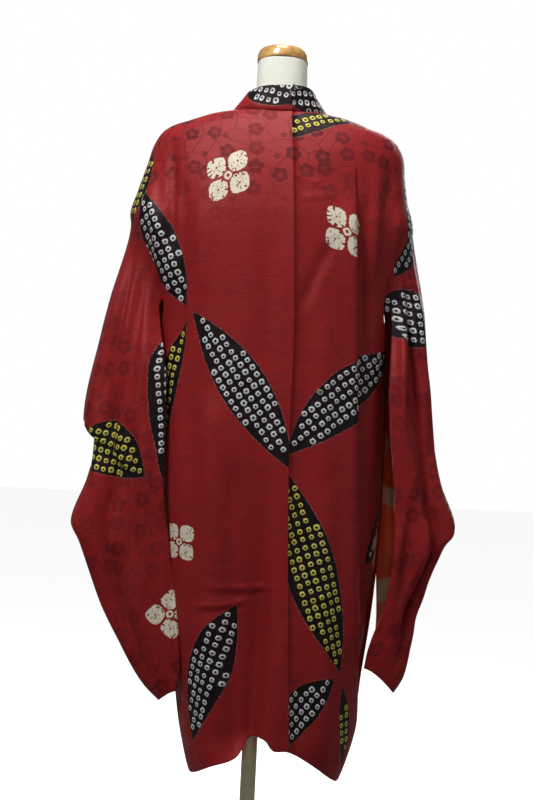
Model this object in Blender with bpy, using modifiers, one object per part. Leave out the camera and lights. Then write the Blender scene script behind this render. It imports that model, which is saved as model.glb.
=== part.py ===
"""A haori jacket worn by a limbless dress form on a pole and disc base.

Metres, +Z up. The back of the garment faces -Y, its front opening faces +Y,
and the wearer's right-hand side is at +X. The base's underside is at Z = 0.
"""

import math
from collections import namedtuple

import bpy
from mathutils import Vector

# Cloth.
CLOTH = 0.0015  # thickness of a lined silk panel
SEAM_GAP = 0.0003  # air between two panels that are sewn together
ROUNDNESS = 2.4  # exponent of the worn garment's oval sections

# Heights of the construction lines of the garment.
HEM = 0.400  # level of the hem row before it dips at the sides
GUSSET_TOP = 1.040
GUSSET_GAP = 0.0005  # air along its two seams
ARMPIT = 1.131  # lower end of the armhole seam
SHOULDER_END = 1.268  # where the shoulder fold meets the sleeve
NECKLINE = 1.4455  # at the middle of the back
NECKLINE_RISE = 0.0045  # how much higher the neckline is at the sides of the neck
HEM_FADE = 1.000  # above this level the rows of the panels are level
NECKLINE_FADE = 0.020  # the neckline's rise starts this far below it

# Numbers of mesh rows and columns.
SKIRT_ROWS = 13
ARMHOLE_ROWS = 9
YOKE_ROWS = 10
BACK_COLUMNS = 17
FRONT_COLUMNS = 9
GUSSET_COLUMNS = 3
YOKE_CROWDING = 2.4  # how much closer the rows lie towards the neckline
ROW_FINE = 120  # points of a row before they are evenly spaced
ANGLE_STEP = 1.0  # degrees, and a height, over which directions on the
LEVEL_STEP = 0.003  # worn surface are measured

# The collar band.
COLLAR_THICKNESS = 0.005
COLLAR_GAP = 0.0006  # air along its seam, which turns round the neck
COLLAR_WIDTH = 0.058  # folded width down the fronts
COLLAR_STAND = 0.0433  # height at the back of the neck
COLLAR_SIDE = 0.036  # at the sides of the neck
COLLAR_TURN = 0.110  # drop over which it turns to lie on the chest
COLLAR_BACK_LEAN = (0.0, 0.10, 1.0)  # the way it stands at the back of the neck
COLLAR_SIDE_LEAN = (0.62, 0.0, 0.78)  # and at the sides, with x towards the neck
COLLAR_COLUMNS = 3
CHEST_FINE = 160  # points, half a degree apart, that it can lie on
CHEST_STEP = 0.5

# The lining strips at the sleeves' open inner edges.
LINING = 0.001
LINING_GAP = 0.0006
LINING_COLUMNS = 4
LINING_TOP = 0.10  # shares of the way down the sleeve
LINING_FOOT = 0.93

# The stand.
BASE_RADIUS = 0.190
BASE_HEIGHT = 0.016
BASE_CROWN = 0.005  # drop from the plate's middle to its rounded rim
BASE_ROUNDING = 0.010  # width and height of the rim's rounding
BASE_CHAMFER = 0.002  # round the underside
BOSS_RADIUS = 0.030
BOSS_HEIGHT = 0.012
BOSS_CHAMFER = 0.003
POLE_RADIUS = 0.0125
TURNED_SIDES = 40
SEAT_GAP = 0.0003

# The oval of the worn body at each height: half widths to the left and right,
# depths behind and in front of the stand's axis.
Oval = namedtuple("Oval", "height left right back front")
BODY_OVALS = (
    Oval(0.375, 0.090, 0.139, 0.150, 0.118),
    Oval(0.424, 0.107, 0.157, 0.150, 0.124),
    Oval(0.480, 0.121, 0.171, 0.150, 0.130),
    Oval(0.560, 0.133, 0.179, 0.150, 0.136),
    Oval(0.650, 0.148, 0.190, 0.149, 0.139),
    Oval(0.765, 0.163, 0.199, 0.147, 0.141),
    Oval(0.890, 0.173, 0.2005, 0.145, 0.142),
    Oval(1.020, 0.180, 0.200, 0.142, 0.143),
    Oval(1.131, 0.189, 0.203, 0.139, 0.142),
    Oval(1.200, 0.212, 0.214, 0.136, 0.137),
    Oval(1.268, 0.238, 0.228, 0.130, 0.123),
    Oval(1.314, 0.227, 0.2160, 0.122, 0.107),
    Oval(1.357, 0.2138, 0.2090, 0.112, 0.092),
    Oval(1.3775, 0.2085, 0.2075, 0.105, 0.085),
    Oval(1.390, 0.2040, 0.2040, 0.100, 0.081),
    Oval(1.405, 0.1957, 0.1957, 0.093, 0.076),
    Oval(1.4143, 0.1870, 0.1870, 0.088, 0.073),
    Oval(1.4232, 0.1710, 0.1710, 0.083, 0.070),
    Oval(1.4315, 0.1450, 0.1450, 0.077, 0.066),
    Oval(1.4402, 0.1120, 0.1120, 0.070, 0.060),
    Oval(1.4455, 0.0780, 0.0780, 0.066, 0.055),
)

# Where the panels end, as angles round the oval from the middle of the back:
# the side edges of the back and of the front, and the distance of the collar
# seam from the middle of the front.
Edge = namedtuple("Edge", "height back_angle front_angle left_collar right_collar")
PANEL_EDGES = (
    Edge(0.375, 76, 102, 0.060, 0.086),
    Edge(0.480, 78, 101, 0.066, 0.090),
    Edge(0.650, 80, 99, 0.076, 0.096),
    Edge(0.900, 82, 98, 0.086, 0.099),
    Edge(1.040, 80, 99, 0.090, 0.097),
    Edge(1.131, 64, 114, 0.092, 0.095),
    Edge(1.190, 64, 114, 0.092, 0.093),
    Edge(1.235, 70, 109, 0.091, 0.091),
    Edge(1.258, 79, 100, 0.090, 0.090),
    Edge(1.268, 90, 90, 0.090, 0.090),
    Edge(1.360, 90, 90, 0.088, 0.088),
    Edge(1.400, 90, 90, 0.085, 0.085),
    Edge(1.430, 90, 90, 0.081, 0.081),
    Edge(1.4455, 90, 90, 0.078, 0.078),
)

# The middle seam of the back leans a little to the right going down.
SeamPoint = namedtuple("SeamPoint", "height across")
BACK_SEAM = (
    SeamPoint(0.430, 0.0590),
    SeamPoint(0.668, 0.0475),
    SeamPoint(0.903, 0.0391),
    SeamPoint(1.107, 0.0370),
    SeamPoint(1.296, 0.0278),
    SeamPoint(1.405, 0.0208),
    SeamPoint(1.4455, 0.0178),
)

# The height of the hem across the back, lowest at the side corners.
HemPoint = namedtuple("HemPoint", "across height")
BACK_HEM = (
    HemPoint(-0.095, 0.374),
    HemPoint(-0.060, 0.398),
    HemPoint(-0.025, 0.417),
    HemPoint(-0.006, 0.444),
    HemPoint(0.022, 0.447),
    HemPoint(0.036, 0.431),
    HemPoint(0.059, 0.430),
    HemPoint(0.091, 0.4125),
    HemPoint(0.142, 0.370),
)
FRONT_HEM = 0.402  # height of the hem at the collar
FRONT_HEM_TURN = 50  # degrees past the side by which it is reached

# Folds of the back, each a soft ridge or valley along a line.
Fold = namedtuple("Fold", "high_x high_z low_x low_z reach rise")
BACK_FOLDS = (
    Fold(0.016, 0.760, 0.008, 0.380, 0.0125, -0.044),  # valley left of the seam
    Fold(0.141, 1.330, 0.178, 0.600, 0.015, -0.016),  # pleat of the right half
    Fold(0.118, 1.340, 0.158, 0.560, 0.015, 0.005),  # its turned edge
    Fold(-0.188, 1.395, -0.190, 1.270, 0.010, -0.006),  # at the left armhole
    Fold(-0.168, 1.400, -0.164, 1.150, 0.009, 0.005),
    Fold(-0.148, 1.340, -0.146, 1.060, 0.010, -0.007),
    Fold(0.182, 1.395, 0.180, 1.150, 0.010, -0.006),  # at the right armhole
    Fold(-0.085, 1.000, -0.066, 0.360, 0.020, 0.007),  # long soft folds of the left half
    Fold(-0.050, 0.900, -0.036, 0.360, 0.014, -0.006),
    Fold(0.100, 0.860, 0.118, 0.360, 0.020, 0.006),
)
FRONT_FOLDS = (
    Fold(-0.126, 1.120, -0.078, 0.330, 0.011, -0.022),
    Fold(0.130, 1.120, 0.112, 0.330, 0.011, -0.022),
    Fold(-0.152, 1.150, -0.090, 0.330, 0.012, 0.006),
    Fold(0.158, 1.150, 0.134, 0.330, 0.012, 0.006),
)
FOLD_END = 0.080  # length over which a fold dies away

# Sleeves, sliced at shares of the way down. The outer line is the top fold, then
# the open cuff, then the sewn edge below it. The inner edges of the back and of
# the front hang free beside the body below the armpit. Every x is a distance
# from the middle, whichever the side.
Slice = namedtuple(
    "Slice", "along out_x out_z out_y in_z back_x back_y front_x front_y mouth"
)
LEFT_SLEEVE = (
    Slice(0.00, 0.2385, 1.2660, 0.000, 1.125, 0.172, -0.070, 0.180, 0.060, 0.000),
    Slice(0.16, 0.2560, 1.1750, -0.003, 1.040, 0.169, -0.088, 0.188, 0.074, 0.000),
    Slice(0.33, 0.2780, 1.0700, -0.006, 0.940, 0.164, -0.096, 0.188, 0.080, 0.000),
    Slice(0.49, 0.2985, 0.9350, -0.010, 0.840, 0.157, -0.100, 0.186, 0.078, 0.000),
    Slice(0.51, 0.2760, 0.9150, -0.010, 0.825, 0.156, -0.100, 0.185, 0.078, 0.012),
    Slice(0.60, 0.2850, 0.8430, -0.012, 0.780, 0.149, -0.100, 0.181, 0.076, 0.036),
    Slice(0.68, 0.3083, 0.7717, -0.016, 0.730, 0.141, -0.100, 0.175, 0.068, 0.040),
    Slice(0.73, 0.2934, 0.7364, -0.020, 0.700, 0.136, -0.100, 0.171, 0.060, 0.032),
    Slice(0.84, 0.2575, 0.6470, -0.034, 0.628, 0.125, -0.100, 0.162, 0.020, 0.000),
    Slice(0.90, 0.2250, 0.5870, -0.046, 0.587, 0.120, -0.099, 0.155, -0.022, 0.000),
    Slice(0.96, 0.1840, 0.5220, -0.060, 0.545, 0.117, -0.096, 0.138, -0.062, 0.000),
    Slice(1.00, 0.1505, 0.4913, -0.070, 0.510, 0.121, -0.092, 0.123, -0.083, 0.000),
)
RIGHT_SLEEVE = (
    Slice(0.00, 0.2285, 1.2660, 0.000, 1.125, 0.190, -0.070, 0.192, 0.060, 0.000),
    Slice(0.16, 0.2485, 1.1600, -0.003, 1.040, 0.200, -0.084, 0.198, 0.074, 0.000),
    Slice(0.33, 0.2606, 1.0582, -0.006, 0.940, 0.205, -0.088, 0.198, 0.080, 0.000),
    Slice(0.49, 0.2768, 0.9280, -0.010, 0.840, 0.212, -0.090, 0.198, 0.078, 0.000),
    Slice(0.51, 0.2790, 0.9100, -0.010, 0.825, 0.212, -0.090, 0.198, 0.078, 0.012),
    Slice(0.60, 0.2915, 0.8550, -0.012, 0.780, 0.214, -0.090, 0.198, 0.076, 0.036),
    Slice(0.68, 0.3163, 0.7892, -0.014, 0.730, 0.213, -0.088, 0.198, 0.070, 0.040),
    Slice(0.73, 0.2990, 0.7600, -0.016, 0.700, 0.211, -0.086, 0.198, 0.064, 0.032),
    Slice(0.84, 0.2600, 0.6550, -0.026, 0.645, 0.201, -0.082, 0.199, 0.030, 0.000),
    Slice(0.90, 0.2555, 0.6050, -0.034, 0.615, 0.190, -0.080, 0.197, -0.006, 0.000),
    Slice(0.96, 0.2450, 0.5450, -0.042, 0.585, 0.181, -0.078, 0.191, -0.044, 0.000),
    Slice(1.00, 0.2281, 0.5180, -0.052, 0.558, 0.177, -0.074, 0.179, -0.065, 0.000),
)
CUFF_TOP = 0.49  # share of the way down a sleeve where the cuff opens
CUFF_FOOT = 0.84  # and where it is sewn shut again
SLEEVE_UPPER_ROWS = 9
SLEEVE_CUFF_ROWS = 7
SLEEVE_LOWER_ROWS = 5
ARMHOLE_GAP = 0.0010  # air along the armhole seam, which bends sharply
SLEEVE_BLEND = 0.22  # share of the sleeve that eases from the armhole into its own shape
SLEEVE_LEAD = 0.060  # length over which it first carries on the body's surface
SLEEVE_ROUNDNESS = 2.1
SLEEVE_RISE = 1.5  # exponent of its climb from the inner edges to the outer line
MOUTH_TAPER = 4  # exponent that keeps the cuff's opening at the outer line
SLEEVE_DEPTH = 1.6  # how much more its folds push to the back and front than out
SLEEVE_FOLDS_START = 0.25  # shares of the way down over which the folds grow
SLEEVE_FOLDS_END = 0.16  # and die away again
SLEEVE_FINE = 60  # points of a slice before they are evenly spaced

# Folds of a sleeve run down it at a share of the way round, from the inner
# edge of its back (0) through the outer line (0.5) to the inner edge of its
# front (1).
SleeveFold = namedtuple("SleeveFold", "high_share low_share reach rise")
SLEEVE_FOLDS = (
    SleeveFold(0.10, 0.16, 0.050, 0.006),
    SleeveFold(0.20, 0.27, 0.035, -0.014),
    SleeveFold(0.33, 0.38, 0.040, 0.006),
    SleeveFold(0.62, 0.60, 0.035, -0.012),
    SleeveFold(0.72, 0.72, 0.040, 0.006),
    SleeveFold(0.83, 0.80, 0.035, -0.014),
)

# The dress form: a soft-shouldered torso that ends in a forward-leaning neck.
FormOval = namedtuple("FormOval", "height half front back centre")
FORM_OVALS = (
    FormOval(0.7400, 0.1120, 0.074, 0.082, 0.000),
    FormOval(0.7440, 0.1240, 0.084, 0.094, 0.000),
    FormOval(0.7560, 0.1310, 0.090, 0.101, 0.000),
    FormOval(0.8100, 0.1370, 0.094, 0.106, 0.000),
    FormOval(0.8800, 0.1380, 0.095, 0.107, 0.000),
    FormOval(0.9500, 0.1310, 0.089, 0.100, 0.000),
    FormOval(1.0300, 0.1220, 0.084, 0.090, 0.000),
    FormOval(1.1000, 0.1290, 0.100, 0.089, 0.000),
    FormOval(1.1700, 0.1410, 0.122, 0.094, 0.000),
    FormOval(1.2200, 0.1490, 0.126, 0.098, 0.000),
    FormOval(1.2800, 0.1650, 0.110, 0.100, 0.000),
    FormOval(1.3300, 0.1880, 0.088, 0.096, 0.000),
    FormOval(1.3600, 0.1995, 0.074, 0.090, 0.000),
    FormOval(1.3750, 0.2020, 0.067, 0.085, 0.000),
    FormOval(1.3870, 0.1995, 0.062, 0.080, 0.000),
    FormOval(1.4020, 0.1925, 0.056, 0.073, 0.000),
    FormOval(1.4113, 0.1835, 0.052, 0.068, 0.000),
    FormOval(1.4207, 0.1685, 0.049, 0.063, 0.000),
    FormOval(1.4293, 0.1430, 0.047, 0.058, 0.000),
    FormOval(1.4377, 0.1100, 0.045, 0.053, 0.000),
    FormOval(1.4428, 0.0880, 0.044, 0.050, 0.001),
    FormOval(1.4480, 0.0700, 0.044, 0.047, 0.002),
    FormOval(1.4560, 0.0550, 0.043, 0.044, 0.004),
    FormOval(1.4700, 0.0465, 0.042, 0.042, 0.008),
    FormOval(1.4900, 0.0425, 0.042, 0.042, 0.012),
    FormOval(1.5150, 0.0415, 0.042, 0.042, 0.017),
    FormOval(1.5350, 0.0410, 0.042, 0.042, 0.021),
)
FORM_SIDES = 36
NECK_TILT = math.radians(10)
NECK_START = 1.465  # height where the neck begins to lean
CAP_HEIGHT = 0.026
CAP_RADIUS = 0.0425
CAP_GAP = 0.0005


# Reading the tables

def read(table, column, at):
    """A smooth reading of one column of a table, whose first column is rising."""
    keys = [row[0] for row in table]
    values = [getattr(row, column) for row in table]
    last = len(keys) - 1
    if at <= keys[0]:
        return values[0]
    if at >= keys[last]:
        return values[last]
    low = max(i for i in range(last) if keys[i] <= at)
    step = keys[low + 1] - keys[low]
    share = (at - keys[low]) / step

    def slope(i):
        before, after = max(i - 1, 0), min(i + 1, last)
        return (values[after] - values[before]) / (keys[after] - keys[before])

    start, end = slope(low) * step, slope(low + 1) * step
    square, cube = share**2, share**3
    return (
        values[low] * (2 * cube - 3 * square + 1)
        + start * (cube - 2 * square + share)
        + values[low + 1] * (3 * square - 2 * cube)
        + end * (cube - square)
    )


def ease(share):
    share = min(max(share, 0.0), 1.0)
    return share * share * (3 - 2 * share)


def evenly(points, columns, trim_start=0.0, trim_end=0.0):
    """Evenly spaced points along a line, less a length trimmed off each end."""
    lengths = [0.0]
    for a, b in zip(points, points[1:]):
        lengths.append(lengths[-1] + (b - a).length)
    whole = lengths[-1] - trim_start - trim_end
    found = []
    low = 0
    for i in range(columns + 1):
        wanted = trim_start + whole * i / columns
        while low < len(points) - 2 and lengths[low + 1] < wanted:
            low += 1
        step = max(lengths[low + 1] - lengths[low], 1e-9)
        found.append(points[low].lerp(points[low + 1], (wanted - lengths[low]) / step))
    return found


# The worn surface of the body

def side_name(side):
    return "left" if side < 0 else "right"


def fold_rise(folds, x, z):
    """How far the folds lift the cloth at a place."""
    total = 0.0
    for fold in folds:
        share = (fold.high_z - z) / (fold.high_z - fold.low_z)
        line = fold.high_x + (fold.low_x - fold.high_x) * share
        alive = ease((fold.high_z - z) / FOLD_END) * ease((z - fold.low_z) / FOLD_END)
        total += fold.rise * alive * math.exp(-(((x - line) / fold.reach) ** 2))
    return total


def hem_height(angle, x):
    """Height of the hem at a signed angle round the body."""
    if abs(angle) <= 90:
        return read(BACK_HEM, "height", x)
    corner = BACK_HEM[0].height if angle < 0 else BACK_HEM[-1].height
    return corner + (FRONT_HEM - corner) * ease((abs(angle) - 90) / FRONT_HEM_TURN)


def body_surface(angle, level):
    """The outside of the worn body cloth.

    The angle is 0 at the middle of the back, positive to the right and
    180 at the middle of the front. The level is that of the mesh row.
    """
    side = -1 if angle < 0 else 1
    half = read(BODY_OVALS, side_name(side), level)
    behind = abs(angle) <= 90
    deep = read(BODY_OVALS, "back" if behind else "front", level)
    power = 2 / ROUNDNESS
    sine = abs(math.sin(math.radians(angle))) ** power
    cosine = abs(math.cos(math.radians(angle))) ** power
    x = side * half * sine
    y = -deep * cosine if behind else deep * cosine
    sag = (hem_height(angle, x) - HEM) * ease((HEM_FADE - level) / (HEM_FADE - HEM))
    rise = NECKLINE_RISE * sine * ease((level - NECKLINE) / NECKLINE_FADE + 1)
    z = level + sag + rise
    outward = Vector((x / half**2, y / deep**2, 0)).normalized()
    folds = BACK_FOLDS if behind else FRONT_FOLDS
    return Vector((x, y, z)) + outward * fold_rise(folds, x, z)


def angle_at(x, level):
    """The angle on the back of the oval where the cloth is x across."""
    side = -1 if x < 0 else 1
    half = read(BODY_OVALS, side_name(side), level)
    share = min(abs(x) / half, 1.0) ** (ROUNDNESS / 2)
    return side * math.degrees(math.asin(share))


def row_points(start, end, level, columns, trim_start=0.0, trim_end=0.0):
    """Evenly spaced points of one row, from one angle to another.

    The trims are lengths of cloth left out at its ends.
    """
    angles = [start + (end - start) * i / ROW_FINE for i in range(ROW_FINE + 1)]
    points = [body_surface(angle, level) for angle in angles]
    return evenly(points, columns, trim_start, trim_end)


def body_levels():
    """Levels of all the rows of a body panel, from the hem to the neckline."""
    skirt = [HEM + (ARMPIT - HEM) * i / SKIRT_ROWS for i in range(SKIRT_ROWS)]
    armhole = [
        ARMPIT + (SHOULDER_END - ARMPIT) * math.sin(math.pi / 2 * i / ARMHOLE_ROWS)
        for i in range(ARMHOLE_ROWS)
    ]
    climb = NECKLINE - SHOULDER_END
    yoke = [
        SHOULDER_END + climb * (1 - (1 - i / YOKE_ROWS) ** YOKE_CROWDING)
        for i in range(YOKE_ROWS + 1)
    ]
    return skirt + armhole + yoke


# Mesh helpers

def material(name, colour, roughness, metallic=0.0):
    made = bpy.data.materials.new(name)
    made.use_nodes = True
    shader = made.node_tree.nodes["Principled BSDF"]
    shader.inputs["Base Color"].default_value = (*colour, 1)
    shader.inputs["Roughness"].default_value = roughness
    shader.inputs["Metallic"].default_value = metallic
    return made


def mesh_object(name, points, faces, finish, thickness=0.0):
    """A named mesh, made a wall of cloth by Solidify if it has a thickness."""
    mesh = bpy.data.meshes.new(name)
    mesh.from_pydata(points, [], faces)
    mesh.update()
    made = bpy.data.objects.new(name, mesh)
    made.data.materials.append(finish)
    collection.objects.link(made)
    if thickness:
        wall = made.modifiers.new("Wall", "SOLIDIFY")
        wall.thickness = thickness
        wall.offset = -1
    return made


def tube_faces(rings, sides):
    """Quads between closed rings of points, and a face over each end."""
    faces = [list(range(sides))[::-1], list(range((rings - 1) * sides, rings * sides))]
    for ring in range(rings - 1):
        low, high = ring * sides, (ring + 1) * sides
        for i in range(sides):
            j = (i + 1) % sides
            faces.append([low + i, low + j, high + j, high + i])
    return faces


def neighbours(row, i):
    """What lies before and after one place of a row, or the place itself at an end."""
    return row[max(i - 1, 0)], row[min(i + 1, len(row) - 1)]


class Grid:
    """Points laid out in rows, and the quads between them."""

    def __init__(self):
        self.points = []
        self.faces = []

    def add_row(self, row):
        start = len(self.points)
        self.points.extend(row)
        return list(range(start, start + len(row)))

    def join(self, lower, upper, flip):
        """Quads between two rows of the same length."""
        for i in range(len(lower) - 1):
            quad = [lower[i], lower[i + 1], upper[i + 1], upper[i]]
            self.faces.append(quad[::-1] if flip else quad)

    def fan(self, lower, tip, flip):
        """Triangles from a row to one point."""
        for i in range(len(lower) - 1):
            triangle = [lower[i], lower[i + 1], tip]
            self.faces.append(triangle[::-1] if flip else triangle)


# Pieces of the body

def panel_rows(side, level):
    """Points of the back and of the front of one half at one level."""
    seam = angle_at(read(BACK_SEAM, "across", level), level)
    back_edge, front_edge = side_angles(side, level)
    front_end = collar_angle(side, level)
    back = row_points(seam, back_edge, level, BACK_COLUMNS, SEAM_GAP)
    front = row_points(front_edge, front_end, level, FRONT_COLUMNS, 0, SEAM_GAP)
    return back, front


def side_angles(side, level):
    """Where the back ends and the front starts; the same above the armhole."""
    if level >= SHOULDER_END:
        return side * 90, side * 90
    return (
        side * read(PANEL_EDGES, "back_angle", level),
        side * read(PANEL_EDGES, "front_angle", level),
    )


def collar_angle(side, level):
    """Where the front ends at the collar."""
    across = read(PANEL_EDGES, side_name(side) + "_collar", level)
    return side * (180 - abs(angle_at(side * across, level)))


def body_panel(side):
    """Back and front of one half in one piece, over the shoulder."""
    grid = Grid()
    levels = body_levels()
    flip = side < 0
    below_back = below_front = None
    for level in levels[:-1]:
        back, front = panel_rows(side, level)
        back_row = grid.add_row(back)
        if level >= SHOULDER_END:
            front_row = [back_row[-1]] + grid.add_row(front[1:])
        else:
            front_row = grid.add_row(front)
        if below_back:
            grid.join(below_back, back_row, flip)
            grid.join(below_front, front_row, flip)
        below_back, below_front = back_row, front_row
    neckline = grid.add_row(panel_rows(side, levels[-1])[0])
    grid.join(below_back, neckline, flip)
    grid.fan(below_front, neckline[-1], flip)
    name = "body_" + side_name(side)
    return mesh_object(name, grid.points, grid.faces, crimson_silk, CLOTH)


def gusset(side):
    """The long wedge sewn between the back and the front below the armpit."""
    grid = Grid()
    below = None
    for level in body_levels():
        if level > GUSSET_TOP:
            break
        start, end = side_angles(side, level)
        points = row_points(start, end, level, GUSSET_COLUMNS, GUSSET_GAP, GUSSET_GAP)
        row = grid.add_row(points)
        if below:
            grid.join(below, row, side < 0)
        below = row
    name = "gusset_" + side_name(side)
    return mesh_object(name, grid.points, grid.faces, crimson_silk, CLOTH)


# Sleeves

def armhole(side):
    """Points of the armhole's edge, from the armpit over the shoulder to the armpit.

    Each comes with the direction that leaves the body panel there along its surface.
    """
    levels = body_levels()[SKIRT_ROWS : SKIRT_ROWS + ARMHOLE_ROWS + 1]
    back = [(side_angles(side, level)[0], level) for level in levels]
    front = [(side_angles(side, level)[1], level) for level in levels[-2::-1]]
    places = back + front
    points = [body_surface(*place) for place in places]
    found = []
    for i, (angle, level) in enumerate(places):
        nearer = body_surface(angle - ANGLE_STEP, level)
        further = body_surface(angle + ANGLE_STEP, level)
        lower = body_surface(angle, level - LEVEL_STEP)
        higher = body_surface(angle, level + LEVEL_STEP)
        normal = (further - nearer).cross(higher - lower).normalized()
        before, after = neighbours(points, i)
        away = normal.cross(after - before).normalized()
        if away.dot(Vector((side, 0, -1))) < 0:
            away = -away
        found.append((points[i], away))
    return found


def sleeve_fold_rise(share, along):
    """How far the folds push a sleeve's cloth out, at a share of the way round."""
    alive = ease(along / SLEEVE_FOLDS_START) * ease((1 - along) / SLEEVE_FOLDS_END)
    total = 0.0
    for fold in SLEEVE_FOLDS:
        line = fold.high_share + (fold.low_share - fold.high_share) * along
        total += fold.rise * math.exp(-(((share - line) / fold.reach) ** 2))
    return total * alive


def sleeve_half(side, along, half):
    """Points of one half of a sleeve's slice, from its inner edge to its outer line."""
    table = LEFT_SLEEVE if side < 0 else RIGHT_SLEEVE
    out_x, out_y, out_z = (read(table, name, along) for name in ("out_x", "out_y", "out_z"))
    in_x, in_y = read(table, half + "_x", along), read(table, half + "_y", along)
    in_z = read(table, "in_z", along)
    mouth = read(table, "mouth", along) if CUFF_TOP < along < CUFF_FOOT else 0.0
    turn = -1 if half == "back" else 1
    power = 2 / SLEEVE_ROUNDNESS
    points = []
    for i in range(SLEEVE_FINE + 1):
        angle = math.pi / 2 * i / SLEEVE_FINE
        sine = math.sin(angle) ** power
        cosine = max(math.cos(angle), 0) ** power
        x = in_x + (out_x - in_x) * sine
        y = out_y + (in_y - out_y) * cosine + turn * mouth / 2 * sine**MOUTH_TAPER
        z = in_z + (out_z - in_z) * sine**SLEEVE_RISE
        outward = Vector((x - in_x, (y - out_y) * SLEEVE_DEPTH, 0))
        if outward.length < 1e-9:
            outward = Vector((0, turn, 0))
        share = 0.5 * i / SLEEVE_FINE
        if half == "front":
            share = 1 - share
        point = Vector((x, y, z)) + outward.normalized() * sleeve_fold_rise(share, along)
        points.append(Vector((side * point.x, point.y, point.z)))
    return points


def sleeve_slice(side, along):
    """Evenly spaced points of a slice: its back, outwards, and its front, inwards."""
    back = evenly(sleeve_half(side, along, "back"), ARMHOLE_ROWS)
    front = evenly(sleeve_half(side, along, "front"), ARMHOLE_ROWS)
    return back, front[::-1]


def sleeve_alongs():
    """Shares of the way down a sleeve, one for each of its rows."""
    upper = [CUFF_TOP * i / SLEEVE_UPPER_ROWS for i in range(SLEEVE_UPPER_ROWS)]
    cuff = CUFF_FOOT - CUFF_TOP
    open_rows = [CUFF_TOP + cuff * i / SLEEVE_CUFF_ROWS for i in range(SLEEVE_CUFF_ROWS)]
    foot = 1 - CUFF_FOOT
    lower = [CUFF_FOOT + foot * i / SLEEVE_LOWER_ROWS for i in range(SLEEVE_LOWER_ROWS + 1)]
    return upper + open_rows + lower


def in_slit(along):
    """Whether the back and the front are parted by the cuff's opening."""
    return CUFF_TOP + 1e-6 < along < CUFF_FOOT - 1e-6


def sleeve_points(side):
    """Rows of a sleeve from its armhole down, each as (share, back, front)."""
    edge = armhole(side)
    rows = []
    for along in sleeve_alongs():
        back, front = sleeve_slice(side, along)
        blend = ease(along / SLEEVE_BLEND)
        reach = ARMHOLE_GAP + SLEEVE_LEAD * along / SLEEVE_BLEND
        eased = []
        for points, start in ((back, 0), (front, ARMHOLE_ROWS)):
            leads = [point + away * reach for point, away in edge[start:]]
            eased.append([lead.lerp(point, blend) for lead, point in zip(leads, points)])
        rows.append((along, eased[0], eased[1]))
    return rows


def sleeve(side):
    """The bag of one sleeve: open at the body and at the cuff, closed below."""
    grid = Grid()
    flip = side > 0
    below_back = below_front = None
    for along, back, front in sleeve_points(side):
        back_row = grid.add_row(back)
        if in_slit(along):
            front_row = grid.add_row(front)
        else:
            front_row = [back_row[-1]] + grid.add_row(front[1:])
        if below_back:
            grid.join(below_back, back_row, flip)
            grid.join(below_front, front_row, flip)
        below_back, below_front = back_row, front_row
    grid.join(below_back[:-1], below_front[:0:-1], flip)
    grid.faces.append(tip_face(below_back, below_front, flip))
    return mesh_object("sleeve_" + side_name(side), grid.points, grid.faces, crimson_silk, CLOTH)


def tip_face(back_row, front_row, flip):
    """The triangle that closes the bag at its outer corner."""
    corner = [back_row[-2], back_row[-1], front_row[1]]
    return corner[::-1] if flip else corner


def sleeve_lining(shell, side, half):
    """The strip of lining that shows inside a sleeve's open inner edge."""
    grid = Grid()
    start = 0
    below = None
    for along, back, front in sleeve_points(side):
        count = len(back) + len(front) - (0 if in_slit(along) else 1)
        row = list(range(start, start + count))
        start += count
        if not LINING_TOP < along < LINING_FOOT:
            continue
        strip = row[: LINING_COLUMNS + 1] if half == "back" else row[-LINING_COLUMNS - 1 :]
        corners = [shell.data.vertices[i] for i in strip]
        inside = [corner.co - corner.normal * (CLOTH + LINING_GAP) for corner in corners]
        lining_row = grid.add_row(inside)
        if below:
            grid.join(below, lining_row, side > 0)
        below = lining_row
    name = "sleeve_lining_" + half + "_" + side_name(side)
    return mesh_object(name, grid.points, grid.faces, orange_silk, LINING)


# Collar

def collar_edge(side):
    """The panel's edge under the collar, from the middle of the back to the front hem.

    Each place is a point, the way out of the panel, its normal, the level, and
    the share of the way from the middle to the side of the neck.
    """
    levels = body_levels()
    rows = [panel_rows(side, level) for level in levels]
    neckline, below = rows[-1][0], rows[-2][0]
    path = [
        (point, inner, levels[-1], i / BACK_COLUMNS)
        for i, (point, inner) in enumerate(zip(neckline, below))
    ]
    for level, (_, front) in reversed(list(zip(levels[:-1], rows[:-1]))):
        path.append((front[-1], front[-2], level, 1.0))
    found = []
    for i, (point, inner, level, around) in enumerate(path):
        before, after = neighbours(path, i)
        along = (after[0] - before[0]).normalized()
        inward = inner - point
        away = -(inward - along * inward.dot(along)).normalized()
        normal = away.cross(along) * side
        found.append((point, away, normal, level, around))
    return found


def collar_section(start, level, side, around):
    """Points across the collar band, from its seam to its folded edge."""
    inward, forward, upward = COLLAR_SIDE_LEAN
    lean = Vector((-side * inward, forward, upward))
    stand = Vector(COLLAR_BACK_LEAN).lerp(lean, ease(around)).normalized()
    tall = COLLAR_STAND + (COLLAR_SIDE - COLLAR_STAND) * ease(around)
    neck = [start + stand * tall * i / COLLAR_COLUMNS for i in range(COLLAR_COLUMNS + 1)]
    flat = ease((NECKLINE - level) / COLLAR_TURN)
    if flat == 0:
        return neck
    end = collar_angle(side, level)
    angles = [end + side * i * CHEST_STEP for i in range(1, CHEST_FINE)]
    chest = [start] + [body_surface(angle, level) for angle in angles]
    whole = sum((b - a).length for a, b in zip(chest, chest[1:]))
    front = evenly(chest, COLLAR_COLUMNS, 0, whole - COLLAR_WIDTH)
    return [a.lerp(b, flat) for a, b in zip(neck, front)]


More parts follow.
